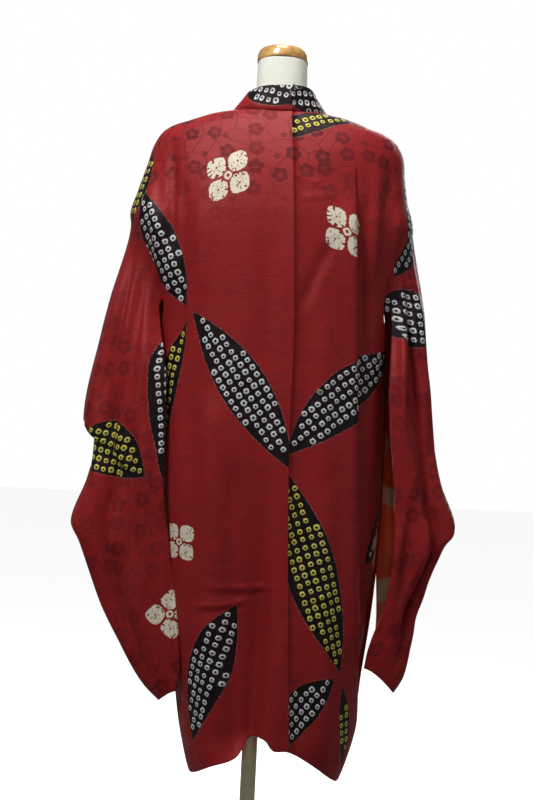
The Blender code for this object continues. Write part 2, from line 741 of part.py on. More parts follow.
def collar():
    """One long band, folded over at the neck, down both fronts to the hem."""
    halves = []
    for side in (-1, 1):
        half = []
        for point, away, normal, level, around in collar_edge(side):
            section = collar_section(point + away * COLLAR_GAP, level, side, around)
            half.append((section, normal))
        halves.append(half)
    sections = halves[0][:0:-1] + halves[1]
    count, width = len(sections), COLLAR_COLUMNS + 1
    points = []
    for i, (section, seam_normal) in enumerate(sections):
        before, after = neighbours(sections, i)
        outer, inner = [], []
        for j, point in enumerate(section):
            along = after[0][j] - before[0][j]
            nearer, further = neighbours(section, j)
            normal = (further - nearer).cross(along).normalized() if j else seam_normal
            outer.append(point + normal * (COLLAR_THICKNESS - CLOTH))
            inner.append(point - normal * CLOTH)
        points.extend(outer + inner[::-1])
    return mesh_object("collar", points, tube_faces(count, 2 * width), black_silk)


# Stand

def dress_form():
    """The torso: a loft of ovals with a flat underside and a tilted neck top."""
    points = []
    power = 2 / ROUNDNESS
    for oval in FORM_OVALS:
        lean = ease((oval.height - NECK_START) / (FORM_OVALS[-1].height - NECK_START))
        for i in range(FORM_SIDES):
            angle = 2 * math.pi * i / FORM_SIDES
            sine, cosine = math.sin(angle), math.cos(angle)
            x = oval.half * math.copysign(abs(sine) ** power, sine)
            deep = oval.back if cosine > 0 else oval.front
            y = -deep * math.copysign(abs(cosine) ** power, cosine)
            z = oval.height - y * math.tan(NECK_TILT) * lean
            points.append(Vector((x, y + oval.centre, z)))
    faces = tube_faces(len(FORM_OVALS), FORM_SIDES)
    return mesh_object("form_torso", points, faces, linen)


def turned(name, profile, finish):
    """A solid of revolution: a profile of (radius, height) from top to bottom."""
    mesh = bpy.data.meshes.new(name)
    edges = [(i, i + 1) for i in range(len(profile) - 1)]
    mesh.from_pydata([(radius, 0, height) for radius, height in profile], edges, [])
    made = bpy.data.objects.new(name, mesh)
    made.data.materials.append(finish)
    collection.objects.link(made)
    screw = made.modifiers.new("Turn", "SCREW")
    screw.steps = screw.render_steps = TURNED_SIDES
    screw.use_merge_vertices = True
    screw.merge_threshold = 0.00001
    return made


def neck_cap():
    """The turned wooden cap that closes the neck."""
    crown, edge = CAP_HEIGHT, CAP_RADIUS
    profile = [
        (0, crown),
        (edge * 0.55, crown * 0.985),
        (edge * 0.80, crown * 0.93),
        (edge * 0.93, crown * 0.80),
        (edge * 0.985, crown * 0.60),
        (edge, crown * 0.35),
        (edge, crown * 0.06),
        (edge * 0.985, 0),
        (0, 0),
    ]
    made = turned("neck_cap", profile, varnished_wood)
    top = FORM_OVALS[-1]
    made.location = (0, top.centre, top.height + CAP_GAP)
    made.rotation_euler = (-NECK_TILT, 0, 0)
    return made


def stand_base():
    """A plain round plate with a low boss for the pole."""
    top = BASE_HEIGHT + BOSS_HEIGHT
    rim = BASE_HEIGHT - BASE_CROWN
    profile = [
        (0, top),
        (BOSS_RADIUS - BOSS_CHAMFER, top),
        (BOSS_RADIUS, top - BOSS_CHAMFER),
        (BOSS_RADIUS, BASE_HEIGHT),
        (BASE_RADIUS - BASE_ROUNDING, rim + BASE_ROUNDING * 0.3),
        (BASE_RADIUS - BASE_ROUNDING * 0.3, rim),
        (BASE_RADIUS, rim - BASE_ROUNDING * 0.5),
        (BASE_RADIUS, BASE_CHAMFER),
        (BASE_RADIUS - BASE_CHAMFER, 0),
        (0, 0),
    ]
    return turned("stand_base", profile, brass)


def stand_pole():
    foot = BASE_HEIGHT + BOSS_HEIGHT + SEAT_GAP
    head = FORM_OVALS[0].height - SEAT_GAP
    bpy.ops.mesh.primitive_cylinder_add(
        vertices=TURNED_SIDES, radius=POLE_RADIUS, depth=head - foot,
        location=(0, 0, (head + foot) / 2),
    )
    made = bpy.context.object
    made.name = "stand_pole"
    made.data.materials.append(brass)
    for user in list(made.users_collection):
        user.objects.unlink(made)
    collection.objects.link(made)
    return made


for scene_object in list(bpy.data.objects):
    bpy.data.objects.remove(scene_object, do_unlink=True)

collection = bpy.data.collections.new("haori_on_dress_form")
bpy.context.scene.collection.children.link(collection)

crimson_silk = material("crimson figured silk", (0.30, 0.016, 0.022), 0.42)
black_silk = material("black tie-dyed silk", (0.012, 0.012, 0.014), 0.45)
orange_silk = material("orange lining silk", (0.72, 0.22, 0.06), 0.5)
linen = material("off-white linen", (0.62, 0.58, 0.50), 0.9)
varnished_wood = material("varnished wood", (0.50, 0.24, 0.07), 0.25)
brass = material("pale brass", (0.55, 0.46, 0.30), 0.3, 1.0)

stand_base()
stand_pole()
dress_form()
neck_cap()
for side in (-1, 1):
    body_panel(side)
    gusset(side)
    shell = sleeve(side)
    for half in ("back", "front"):
        sleeve_lining(shell, side, half)
collar()
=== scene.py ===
import math
from collections import namedtuple

import bmesh
import bpy
import numpy as np
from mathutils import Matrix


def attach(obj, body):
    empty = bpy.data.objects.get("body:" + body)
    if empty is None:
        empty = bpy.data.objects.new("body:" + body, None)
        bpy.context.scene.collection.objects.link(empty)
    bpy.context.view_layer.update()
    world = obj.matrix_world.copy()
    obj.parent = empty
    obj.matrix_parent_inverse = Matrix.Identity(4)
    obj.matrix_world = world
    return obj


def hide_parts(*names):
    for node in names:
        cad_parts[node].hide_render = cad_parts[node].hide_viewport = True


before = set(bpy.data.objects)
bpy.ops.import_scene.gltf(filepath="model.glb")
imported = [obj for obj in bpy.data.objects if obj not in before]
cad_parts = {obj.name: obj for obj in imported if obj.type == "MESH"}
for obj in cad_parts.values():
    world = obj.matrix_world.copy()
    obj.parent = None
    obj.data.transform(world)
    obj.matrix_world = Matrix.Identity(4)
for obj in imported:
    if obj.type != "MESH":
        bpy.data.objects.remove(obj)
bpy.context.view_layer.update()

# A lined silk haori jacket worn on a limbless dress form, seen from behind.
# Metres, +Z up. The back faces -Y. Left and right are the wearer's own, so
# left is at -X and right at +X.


# ---------------------------------------------------------------- The studio
# A plain pale floor, a white surround and large soft lamps: one high above the
# shoulders, a weaker one to each side, and one for the open front.

CAMERA_BACK = 3.0  # from the form's middle to the lens
CAMERA_HEIGHT = 0.98
CAMERA_ROLL = math.radians(2.8)  # the camera was held a little askew
LENS_MM = 82

camera = bpy.data.objects.new("camera", bpy.data.cameras.new("camera"))
camera.location = (0, -CAMERA_BACK, CAMERA_HEIGHT)
camera.rotation_euler = (math.radians(90), -CAMERA_ROLL, 0)
camera.data.lens = LENS_MM
bpy.context.scene.collection.objects.link(camera)
bpy.context.scene.camera = camera
bpy.context.scene.view_settings.view_transform = "Standard"

SURROUND_SEEN = 1.0  # how bright the white surround looks
SURROUND_LIGHT = 0.15  # and how much it lights

world = bpy.data.worlds.new("surround")
world.use_nodes = True
bpy.context.scene.world = world
sky = world.node_tree.nodes["Background"]
seen = world.node_tree.nodes.new("ShaderNodeLightPath")
strength = world.node_tree.nodes.new("ShaderNodeMapRange")
strength.inputs["To Min"].default_value = SURROUND_LIGHT
strength.inputs["To Max"].default_value = SURROUND_SEEN
world.node_tree.links.new(seen.outputs["Is Camera Ray"], strength.inputs["Value"])
world.node_tree.links.new(strength.outputs["Result"], sky.inputs["Strength"])
sky.inputs["Color"].default_value = (1, 1, 1, 1)

Lamp = namedtuple("Lamp", "name place aim size watts")
LAMPS = (
    Lamp("top_lamp", (-0.1, -0.35, 2.9), (0, 0, 1.2), 0.9, 23),
    Lamp("key_lamp", (-1.25, -1.75, 3.15), (0, 0, 1.1), 0.9, 51),
    Lamp("right_lamp", (2.6, -2.2, 1.9), (0, 0, 1.0), 1.8, 11),
    Lamp("front_lamp", (0.8, 3.0, 2.4), (0, 0, 0.9), 2.0, 60),
)
for lamp in LAMPS:
    light = bpy.data.lights.new(lamp.name, "AREA")
    light.size = lamp.size
    light.energy = lamp.watts
    made = bpy.data.objects.new(lamp.name, light)
    made.location = lamp.place
    away = np.subtract(lamp.place, lamp.aim)
    flat = math.hypot(away[0], away[1])
    made.rotation_euler = (math.atan2(flat, away[2]), 0, math.atan2(away[0], -away[1]))
    bpy.context.scene.collection.objects.link(made)

FLOOR_SIDE = 30.0
FLOOR_DROP = 0.0004  # below the base's underside
FLOOR_GLOW = 0.80  # keeps it as pale as the surround, without lighting the cloth

floor_mesh = bpy.data.meshes.new("floor")
corners = [(-1, -1), (1, -1), (1, 1), (-1, 1)]
floor_mesh.from_pydata(
    [(x * FLOOR_SIDE / 2, y * FLOOR_SIDE / 2, -FLOOR_DROP) for x, y in corners], [], [(0, 1, 2, 3)]
)
floor = bpy.data.objects.new("floor", floor_mesh)
bpy.context.scene.collection.objects.link(floor)
floor.visible_diffuse = False
floor.visible_glossy = False


class Finish:
    """A material, and short ways to add nodes to it."""

    def __init__(self, name):
        self.material = bpy.data.materials.new(name)
        self.material.use_nodes = True
        self.tree = self.material.node_tree
        self.shader = self.tree.nodes["Principled BSDF"]

    def put(self, socket, value):
        if isinstance(value, bpy.types.NodeSocket):
            self.tree.links.new(value, socket)
        else:
            socket.default_value = value

    def node(self, kind, inputs=(), **settings):
        made = self.tree.nodes.new(kind)
        for name, value in settings.items():
            setattr(made, name, value)
        for name, value in dict(inputs).items():
            self.put(made.inputs[name], value)
        return made

    def attribute(self, name, output="Vector"):
        return self.node("ShaderNodeAttribute", attribute_name=name).outputs[output]

    def sum(self, operation, *values):
        made = self.tree.nodes.new("ShaderNodeMath")
        made.operation = operation
        for socket, value in zip(made.inputs, values):
            self.put(socket, value)
        return made.outputs[0]

    def step(self, value, low, high):
        """0 below low and 1 above high, with a smooth rise between."""
        made = self.node("ShaderNodeMapRange", interpolation_type="SMOOTHSTEP")
        for name, number in (("Value", value), ("From Min", low), ("From Max", high)):
            self.put(made.inputs[name], number)
        return made.outputs["Result"]

    def fall(self, value, low, high):
        """1 below low and 0 above high."""
        return self.sum("SUBTRACT", 1.0, self.step(value, low, high))

    def mix(self, share, one, other, blend="MIX"):
        made = self.node("ShaderNodeMix", data_type="RGBA", blend_type=blend)
        self.put(made.inputs[0], share)
        self.put(made.inputs[6], one if isinstance(one, bpy.types.NodeSocket) else (*one, 1))
        self.put(made.inputs[7], other if isinstance(other, bpy.types.NodeSocket) else (*other, 1))
        return made.outputs[2]

    def noise(self, place, scale, detail=2.0, rough=0.5):
        made = self.node("ShaderNodeTexNoise", {"Vector": place, "Scale": scale})
        made.inputs["Detail"].default_value = detail
        made.inputs["Roughness"].default_value = rough
        return made.outputs["Fac"]

    def stretched(self, place, factors):
        made = self.node("ShaderNodeVectorMath", {0: place, 1: factors}, operation="MULTIPLY")
        return made.outputs["Vector"]

    def bump(self, height, distance, strength=1.0, under=None):
        made = self.node("ShaderNodeBump", {"Height": height, "Strength": strength})
        made.inputs["Distance"].default_value = distance
        if under is not None:
            self.put(made.inputs["Normal"], under)
        return made.outputs["Normal"]


floor_finish = Finish("pale floor")
floor_finish.put(floor_finish.shader.inputs["Base Color"], (0.92, 0.92, 0.91, 1))
floor_finish.put(floor_finish.shader.inputs["Emission Color"], (1, 1, 1, 1))
floor_finish.put(floor_finish.shader.inputs["Emission Strength"], FLOOR_GLOW)
floor_finish.put(floor_finish.shader.inputs["Roughness"], 0.7)
floor_mesh.materials.append(floor_finish.material)


# ------------------------------------------------------- The figured silk
# One bolt of crimson silk woven with plum blossoms on cracked ice, tone on
# tone. Leaves were bound and dyed black, their rings left white or yellow by
# the threads, and the four-petalled flowers were tied off and stay cream.

CRIMSON = (0.272, 0.0125, 0.0150)
WINE = (0.095, 0.0040, 0.0075)  # the woven figures
DYED_BLACK = (0.0035, 0.0032, 0.0052)
RING_WHITE = (0.62, 0.64, 0.64)
RING_YELLOW = (0.62, 0.56, 0.10)
TIED_CREAM = (0.74, 0.67, 0.53)
EDGE_PINK = (0.36, 0.14, 0.13)  # undyed specks along a leaf's stitched edge
BLACK_FIGURE = (0.0085, 0.0085, 0.0120)
CRACK_RED = (0.16, 0.02, 0.022)

LEAF_FULLNESS = 0.82
SQUARENESS = 2.8
RING_ROW = 0.0140  # between rows of rings
RING_STEP = 0.0134  # between rings of a row
RING_STRAY = 0.0010
RING_MARGIN = 0.0056  # from the leaf's edge to the middle of a ring
RING_SIZE = 0.0043  # half width of a ring
PETAL_OUT = 0.0170  # each way from a flower's heart to a petal's middle
PETAL_SIZE = 0.0150
HEART_SIZE = 0.0060

BLOSSOM_APART = 0.036  # mean distance between blossoms
BLOSSOM_RADIUS = 0.0135
BUD_RADIUS = 0.0050
BUD_SHARE = 0.30  # how many of the blossoms are small ones
ICE_CELL = 0.030  # size of the cracked ice
ICE_LINE = 0.00048


def woven_figures(silk, place):
    """1 where a blossom or a line of the cracked ice is woven, 0 on the ground."""
    cells = silk.node(
        "ShaderNodeTexVoronoi",
        {"Vector": place, "Scale": 1 / BLOSSOM_APART, "Randomness": 0.62},
        voronoi_dimensions="2D",
    )
    local = silk.node("ShaderNodeVectorMath", {0: place, 1: cells.outputs["Position"]},
                      operation="SUBTRACT").outputs["Vector"]
    parts = silk.node("ShaderNodeSeparateXYZ", {"Vector": local})
    chance = silk.node("ShaderNodeSeparateColor", {"Color": cells.outputs["Color"]})
    away = silk.node("ShaderNodeVectorMath", {0: local}, operation="LENGTH").outputs["Value"]
    turn = silk.sum("MULTIPLY", chance.outputs["Red"], 2 * math.pi)
    angle = silk.sum("ADD", silk.sum("ARCTAN2", parts.outputs["Y"], parts.outputs["X"]), turn)
    lobes = silk.sum("ABSOLUTE", silk.sum("COSINE", silk.sum("MULTIPLY", angle, 2.5)))
    outline = silk.sum("MULTIPLY_ADD", silk.sum("POWER", lobes, 0.55), 0.30, 0.70)
    small = silk.sum("LESS_THAN", chance.outputs["Green"], BUD_SHARE)
    radius = silk.sum("MULTIPLY_ADD", small, BUD_RADIUS - BLOSSOM_RADIUS, BLOSSOM_RADIUS)
    share = silk.sum("DIVIDE", away, silk.sum("MULTIPLY", radius, outline))
    petals = silk.fall(share, 0.92, 1.02)
    heart = silk.fall(share, 0.30, 0.38)
    pistil = silk.fall(share, 0.10, 0.16)
    veins = silk.fall(lobes, 0.10, 0.22)
    drawn = silk.sum("MULTIPLY_ADD", heart, -0.75, petals)
    drawn = silk.sum("MULTIPLY_ADD", pistil, 0.7, drawn)
    drawn = silk.sum("SUBTRACT", drawn, silk.sum("MULTIPLY", silk.sum("MULTIPLY", veins, petals), 0.4))
    ice = silk.node(
        "ShaderNodeTexVoronoi",
        {"Vector": place, "Scale": 1 / ICE_CELL, "Randomness": 1.0},
        voronoi_dimensions="2D", feature="DISTANCE_TO_EDGE",
    ).outputs["Distance"]
    line = silk.fall(ice, ICE_LINE / ICE_CELL, 2.4 * ICE_LINE / ICE_CELL)
    line = silk.sum("MULTIPLY", line, 0.8)
    return silk.sum("MAXIMUM", silk.sum("MAXIMUM", drawn, line), 0.0)


def parts_of(finish, vector):
    return finish.node("ShaderNodeSeparateXYZ", {"Vector": vector}).outputs


def leaf_depth(silk, along, aside, size):
    """How deep inside its leaf a place lies, from its distances along and beside the midrib."""
    share = silk.sum("DIVIDE", along, size["X"])
    kept = silk.sum("MINIMUM", silk.sum("MAXIMUM", share, 0.0), 1.0)
    swell = silk.sum("POWER", silk.sum("SINE", silk.sum("MULTIPLY", kept, math.pi)), LEAF_FULLNESS)
    on_right = silk.sum("GREATER_THAN", aside, 0.0)
    widest = silk.sum("MULTIPLY_ADD", on_right, silk.sum("SUBTRACT", size["Z"], size["Y"]), size["Y"])
    past = silk.sum("MULTIPLY", silk.sum("ABSOLUTE", silk.sum("SUBTRACT", share, kept)), size["X"])
    away = silk.sum("ADD", silk.sum("ABSOLUTE", aside), past)
    return silk.sum("SUBTRACT", silk.sum("MULTIPLY", widest, swell), away)


def squared_radius(silk, x, y, turn, size):
    """Distance from the middle of a rounded square, 1 at its edge."""
    cosine, sine = silk.sum("COSINE", turn), silk.sum("SINE", turn)
    turned = (
        silk.sum("ADD", silk.sum("MULTIPLY", x, cosine), silk.sum("MULTIPLY", y, sine)),
        silk.sum("SUBTRACT", silk.sum("MULTIPLY", y, cosine), silk.sum("MULTIPLY", x, sine)),
    )
    powers = [
        silk.sum("POWER", silk.sum("ABSOLUTE", silk.sum("DIVIDE", part, size)), SQUARENESS)
        for part in turned
    ]
    return silk.sum("POWER", silk.sum("ADD", *powers), 1 / SQUARENESS)


def tied_ring(silk, radius, place):
    ragged = silk.sum("SUBTRACT", silk.noise(place, 520.0, 1.0), 0.5)
    ragged = silk.sum("MULTIPLY_ADD", ragged, 0.55, radius)
    outer = silk.fall(ragged, 0.90, 1.06)
    return silk.sum("MULTIPLY", outer, silk.step(ragged, 0.34, 0.50))


def figured_silk():
    silk = Finish("figured crimson silk")
    place = silk.node("ShaderNodeUVMap", uv_map="cloth").outputs["UV"]
    figure = woven_figures(silk, place)

    # Ground: crimson, uneven from the dye bath, with slubs along the weft.
    cloud = silk.noise(place, 9.0, 3.0)
    slub = silk.noise(silk.stretched(place, (60, 900, 1)), 1.0, 3.0, 0.6)
    drift = silk.noise(silk.stretched(place, (28, 130, 1)), 1.0, 2.0)
    tone = silk.sum("MULTIPLY_ADD", cloud, 0.34, 0.83)
    tone = silk.sum("MULTIPLY_ADD", silk.sum("SUBTRACT", slub, 0.5), 0.40, tone)
    tone = silk.sum("MULTIPLY_ADD", silk.sum("SUBTRACT", drift, 0.5), 0.34, tone)
    # Painted shine: the figures' colour shows strongly where the shine attribute is high, over the
    # shoulders, and faintly elsewhere, varied in random patches.
    patch = silk.step(silk.noise(place, 7.0, 2.0), 0.38, 0.62)
    painted_figure_shine = silk.sum("MULTIPLY", silk.attribute("shine", "Fac"), silk.sum("MULTIPLY_ADD", patch, 0.5, 0.5))
    woven = silk.mix(silk.sum("MULTIPLY", figure, painted_figure_shine), CRIMSON, WINE)
    toned = silk.node("ShaderNodeVectorMath", {0: woven, "Scale": tone}, operation="SCALE")
    colour = toned.outputs["Vector"]

    # Dyed leaves: black with a stitched edge of undyed specks.
    leaf = parts_of(silk, silk.attribute("leaf"))
    size = parts_of(silk, silk.attribute("leaf_size"))
    near_leaf = silk.step(silk.attribute("leaf_depth", "Fac"), -0.0055, -0.0038)
    depth = leaf_depth(silk, leaf["X"], leaf["Y"], size)
    ragged = silk.sum("SUBTRACT", silk.noise(place, 380.0, 1.0), 0.5)
    ragged = silk.sum("MULTIPLY_ADD", ragged, 0.0044, depth)
    inside = silk.sum("MULTIPLY", silk.step(ragged, -0.0001, 0.0004), near_leaf)
    rim = silk.fall(silk.sum("ABSOLUTE", ragged), 0.0003, 0.0009)
    specks = silk.sum("MULTIPLY", rim, silk.step(silk.noise(place, 640.0, 0.0), 0.46, 0.60))
    specks = silk.sum("MULTIPLY", specks, near_leaf)
    dyed = silk.mix(silk.sum("MULTIPLY", figure, 0.5), DYED_BLACK, BLACK_FIGURE)
    colour = silk.mix(inside, colour, dyed)
    colour = silk.mix(specks, colour, EDGE_PINK)

    # Rings left by the binding threads in rows along the leaf, each a rough
    # square round a dark heart, and none cut by the leaf's edge.
    lane = silk.sum("FLOOR", silk.sum("DIVIDE", leaf["Y"], RING_ROW))
    knot = silk.sum("FLOOR", silk.sum("DIVIDE", leaf["X"], RING_STEP))
    seed = silk.sum("ROUND", silk.attribute("leaf_seed", "Fac"))
    which = silk.node("ShaderNodeCombineXYZ", {"X": lane, "Y": knot, "Z": seed})
    luck = silk.node("ShaderNodeTexWhiteNoise", {"Vector": which.outputs["Vector"]})
    luck = silk.node("ShaderNodeSeparateColor", {"Color": luck.outputs["Color"]})
    shift = silk.sum("MULTIPLY_ADD", luck.outputs["Red"], 2 * RING_STRAY, -RING_STRAY)
    along = silk.sum("MULTIPLY_ADD", silk.sum("ADD", knot, 0.5), RING_STEP, shift)
    shift = silk.sum("MULTIPLY_ADD", luck.outputs["Green"], 2 * RING_STRAY, -RING_STRAY)
    aside = silk.sum("MULTIPLY_ADD", silk.sum("ADD", lane, 0.5), RING_ROW, shift)
    clear = silk.step(leaf_depth(silk, along, aside, size), RING_MARGIN, RING_MARGIN + 0.0001)
    turn = silk.sum("MULTIPLY_ADD", luck.outputs["Blue"], 0.8, -0.4)
    size_here = silk.sum("MULTIPLY_ADD", luck.outputs["Green"], 0.26 * RING_SIZE, 0.87 * RING_SIZE)
    tied = silk.sum("SUBTRACT", leaf["X"], along), silk.sum("SUBTRACT", leaf["Y"], aside)
    radius = squared_radius(silk, *tied, turn, size_here)
    ring = silk.sum("MULTIPLY", tied_ring(silk, radius, place), silk.sum("MULTIPLY", clear, near_leaf))
    ring_colour = silk.mix(silk.step(leaf["Z"], 0.45, 0.55), RING_WHITE, RING_YELLOW)
    colour = silk.mix(ring, colour, ring_colour)
    pucker = silk.fall(radius, 0.0, 1.5)
    pucker = silk.sum("MULTIPLY", pucker, silk.sum("MULTIPLY", clear, near_leaf))

    # Four cream petals, cracked by the creases in which the dye crept, round
    # one larger ring.
    flower = parts_of(silk, silk.attribute("flower"))
    near_flower = silk.fall(flower["Z"], 0.052, 0.056)
    folded = [silk.sum("SUBTRACT", silk.sum("ABSOLUTE", flower[axis]), PETAL_OUT) for axis in ("X", "Y")]
    petal = squared_radius(silk, *folded, 0.0, PETAL_SIZE)
    rough = silk.sum("SUBTRACT", silk.noise(place, 300.0, 2.0), 0.5)
    petal = silk.sum("MULTIPLY_ADD", rough, 0.26, petal)
    tied_off = silk.sum("MULTIPLY", silk.fall(petal, 0.97, 1.03), near_flower)
    around = silk.sum("ARCTAN2", folded[1], folded[0])
    spread = silk.sum("SQRT", silk.sum("ADD", *[silk.sum("POWER", part, 2.0) for part in folded]))
    upper = silk.sum("MULTIPLY", silk.sum("SIGN", flower["Y"]), 3.0)
    which = silk.sum("ADD", silk.sum("SIGN", flower["X"]), upper)
    ray = silk.node("ShaderNodeCombineXYZ", {"X": silk.sum("MULTIPLY", around, 1.5),
                                             "Y": silk.sum("MULTIPLY", spread, 55.0), "Z": which})
    ray = silk.noise(ray.outputs["Vector"], 2.0, 2.0)
    blot = silk.noise(place, 330.0, 1.0, 0.5)
    pip = silk.fall(spread, 0.0011, 0.0020)
    crack = silk.sum("MAXIMUM", silk.step(ray, 0.585, 0.62), silk.step(blot, 0.66, 0.70))
    crack = silk.sum("MAXIMUM", crack, pip)
    colour = silk.mix(tied_off, colour, silk.mix(crack, TIED_CREAM, CRACK_RED))
    heart = squared_radius(silk, flower["X"], flower["Y"], 0.6, HEART_SIZE)
    bare = silk.sum("MULTIPLY", silk.fall(heart, 1.30, 1.40), near_flower)
    colour = silk.mix(bare, colour, CRIMSON)
    colour = silk.mix(silk.sum("MULTIPLY", tied_ring(silk, heart, place), near_flower), colour, TIED_CREAM)
    silk.put(silk.shader.inputs["Base Color"], colour)

    # Satin ground, duller figures; the bound places pucker.
    dull = silk.sum("MULTIPLY_ADD", figure, 0.16, 0.40)
    silk.put(silk.shader.inputs["Roughness"], silk.sum("MULTIPLY_ADD", slub, 0.10, dull))
    silk.put(silk.shader.inputs["Specular IOR Level"], 0.26)
    silk.put(silk.shader.inputs["Specular Tint"], (1.0, 0.62, 0.58, 1))
    silk.put(silk.shader.inputs["Sheen Weight"], 0.05)
    silk.put(silk.shader.inputs["Sheen Roughness"], 0.4)
    silk.put(silk.shader.inputs["Sheen Tint"], (1.0, 0.42, 0.40, 1))
    threads = silk.noise(silk.stretched(place, (900, 2600, 1)), 1.0, 1.0)
    normal = silk.bump(threads, 0.00025, 0.5)
    normal = silk.bump(slub, 0.0006, 0.6, normal)
    normal = silk.bump(figure, 0.0002, 0.5, normal)
    normal = silk.bump(pucker, 0.0016, 0.8, normal)
    silk.put(silk.shader.inputs["Normal"], normal)
    return silk.material


silk_finish = figured_silk()

# Motifs are placed on the cloth by its own measures, across it and up it. A
# leaf runs from its base to its tip, with its greatest width to either side.
Leaf = namedtuple("Leaf", "base_u base_v tip_u tip_v left right tint")
Flower = namedtuple("Flower", "u v size turn long", defaults=(1.0,))
WHITE_RINGS, YELLOW_RINGS = 0.0, 1.0
FAR_AWAY = 1.0


def motif_values(u, v, leaves, flowers):
    """How each place lies in the nearest leaf and the nearest flower."""
    nearest = np.full(len(u), -FAR_AWAY)
    leaf_at = np.full((len(u), 3), FAR_AWAY)
    leaf_size = np.full((len(u), 3), 0.01)
    seed = np.zeros(len(u))
    for count, leaf in enumerate(leaves):
        run, climb = leaf.tip_u - leaf.base_u, leaf.tip_v - leaf.base_v
        length = math.hypot(run, climb)
        across, up = u - leaf.base_u, v - leaf.base_v
        along = (across * run + up * climb) / length
        aside = (across * climb - up * run) / length
        kept = np.clip(along / length, 0, 1)
        wide = np.where(aside > 0, leaf.right, leaf.left) * np.sin(math.pi * kept) ** LEAF_FULLNESS
        depth = wide - np.abs(aside) - np.abs(along - kept * length)
        here = depth > nearest
        nearest[here] = depth[here]
        leaf_at[here] = np.stack([along, aside, np.full(len(u), leaf.tint)], 1)[here]
        leaf_size[here] = (length, leaf.left, leaf.right)
        seed[here] = count
    flower_at = np.full((len(u), 3), FAR_AWAY)
    for flower in flowers:
        across, up = (u - flower.u) / flower.size, (v - flower.v) / flower.size
        x = across * math.cos(flower.turn) + up * math.sin(flower.turn)
        y = up * math.cos(flower.turn) - across * math.sin(flower.turn)
        lean, cross = (x + y) / 2 / flower.long, (x - y) / 2 * flower.long
        x, y = lean + cross, lean - cross
        spread = np.hypot(x, y)
        here = spread < flower_at[:, 2]
        flower_at[here] = np.stack([x, y, spread], 1)[here]
    return nearest[:, None], seed[:, None], leaf_at, leaf_size, flower_at


MOTIF_FIELDS = ("leaf_depth", "leaf_seed", "leaf", "leaf_size", "flower")
Grid = namedtuple("Grid", "points u v leaves flowers shine", defaults=((), (), 0.5))


def dye(mesh, grids):
    """Stores at each point its place on the cloth and in the motifs."""
    u = np.concatenate([grid.u.ravel() for grid in grids])
    v = np.concatenate([grid.v.ravel() for grid in grids])
    found = [motif_values(grid.u.ravel(), grid.v.ravel(), grid.leaves, grid.flowers) for grid in grids]
    for name, parts in zip(MOTIF_FIELDS, zip(*found)):
        values = np.concatenate(parts)
        single = values.shape[1] == 1
        stored = mesh.attributes.new(name, "FLOAT" if single else "FLOAT_VECTOR", "POINT")
        stored.data.foreach_set("value" if single else "vector", values.astype(np.float32).ravel())
    shines = [np.broadcast_to(grid.shine, grid.u.shape).ravel() for grid in grids]
    stored = mesh.attributes.new("shine", "FLOAT", "POINT")
    stored.data.foreach_set("value", np.concatenate(shines).astype(np.float32))
    corner = np.empty(len(mesh.loops), np.int32)
    mesh.loops.foreach_get("vertex_index", corner)
    layer = mesh.uv_layers.new(name="cloth")
    layer.data.foreach_set("uv", np.stack([u, v], 1)[corner].astype(np.float32).ravel())


# --------------------------------------------------------------- The lining
# Plain silk inside the jacket: cream, with broad waves of orange brushed into
# it. It shows at the sleeves' open inner edges and inside the fronts.

LINING_CREAM = (0.66, 0.57, 0.40)
LINING_ORANGE = (0.78, 0.13, 0.025)


def lining_silk():
    lining = Finish("cream and orange lining silk")
    place = lining.node("ShaderNodeUVMap", uv_map="cloth").outputs["UV"]
    warp = lining.noise(place, 9.0, 1.0)
    wave = lining.node("ShaderNodeSeparateXYZ", {"Vector": place})
    climb = lining.sum("MULTIPLY", wave.outputs["Y"], 34.0)
    swing = lining.sum("SINE", lining.sum("MULTIPLY_ADD", warp, 14.0, climb))
    broad = lining.step(swing, -0.25, 0.35)
    lining.put(lining.shader.inputs["Base Color"], lining.mix(broad, LINING_CREAM, LINING_ORANGE))
    lining.put(lining.shader.inputs["Roughness"], 0.45)
    lining.put(lining.shader.inputs["Sheen Weight"], 0.15)
    weave = lining.noise(lining.stretched(place, (1500, 1500, 1)), 1.0, 1.0)
    lining.put(lining.shader.inputs["Normal"], lining.bump(weave, 0.0002, 0.5))
    return lining.material


lining_finish = lining_silk()


# ---------------------------------------------------------- The body panels
# Each half of the jacket is one length of silk over the shoulder, back and
# front in one, sewn to the other half down the middle of the back. It hangs
# from the shoulders in long soft folds; the right half has a deep pleat.

Oval = namedtuple("Oval", "height left right back front")
BODY_OVALS = (
    Oval(0.375, 0.090, 0.139, 0.150, 0.118),
    Oval(0.424, 0.107, 0.157, 0.150, 0.124),
    Oval(0.480, 0.121, 0.171, 0.150, 0.130),
    Oval(0.560, 0.133, 0.179, 0.150, 0.136),
    Oval(0.650, 0.148, 0.190, 0.149, 0.139),
    Oval(0.765, 0.163, 0.199, 0.147, 0.141),
    Oval(0.890, 0.173, 0.2005, 0.145, 0.142),
    Oval(1.020, 0.180, 0.200, 0.142, 0.143),
    Oval(1.131, 0.189, 0.203, 0.139, 0.142),
    Oval(1.200, 0.212, 0.214, 0.136, 0.137),
    Oval(1.268, 0.238, 0.228, 0.130, 0.123),
    Oval(1.314, 0.227, 0.2160, 0.122, 0.107),
    Oval(1.357, 0.2138, 0.2090, 0.112, 0.092),
    Oval(1.3775, 0.2085, 0.2075, 0.105, 0.085),
    Oval(1.390, 0.2040, 0.2040, 0.100, 0.081),
    Oval(1.405, 0.1957, 0.1957, 0.093, 0.076),
    Oval(1.4143, 0.1870, 0.1870, 0.088, 0.073),
    Oval(1.4232, 0.1710, 0.1710, 0.083, 0.070),
    Oval(1.4315, 0.1450, 0.1450, 0.077, 0.066),
    Oval(1.4402, 0.1120, 0.1120, 0.070, 0.060),
    Oval(1.4455, 0.0780, 0.0780, 0.066, 0.055),
)
ROUNDNESS = 2.4  # exponent of the ovals

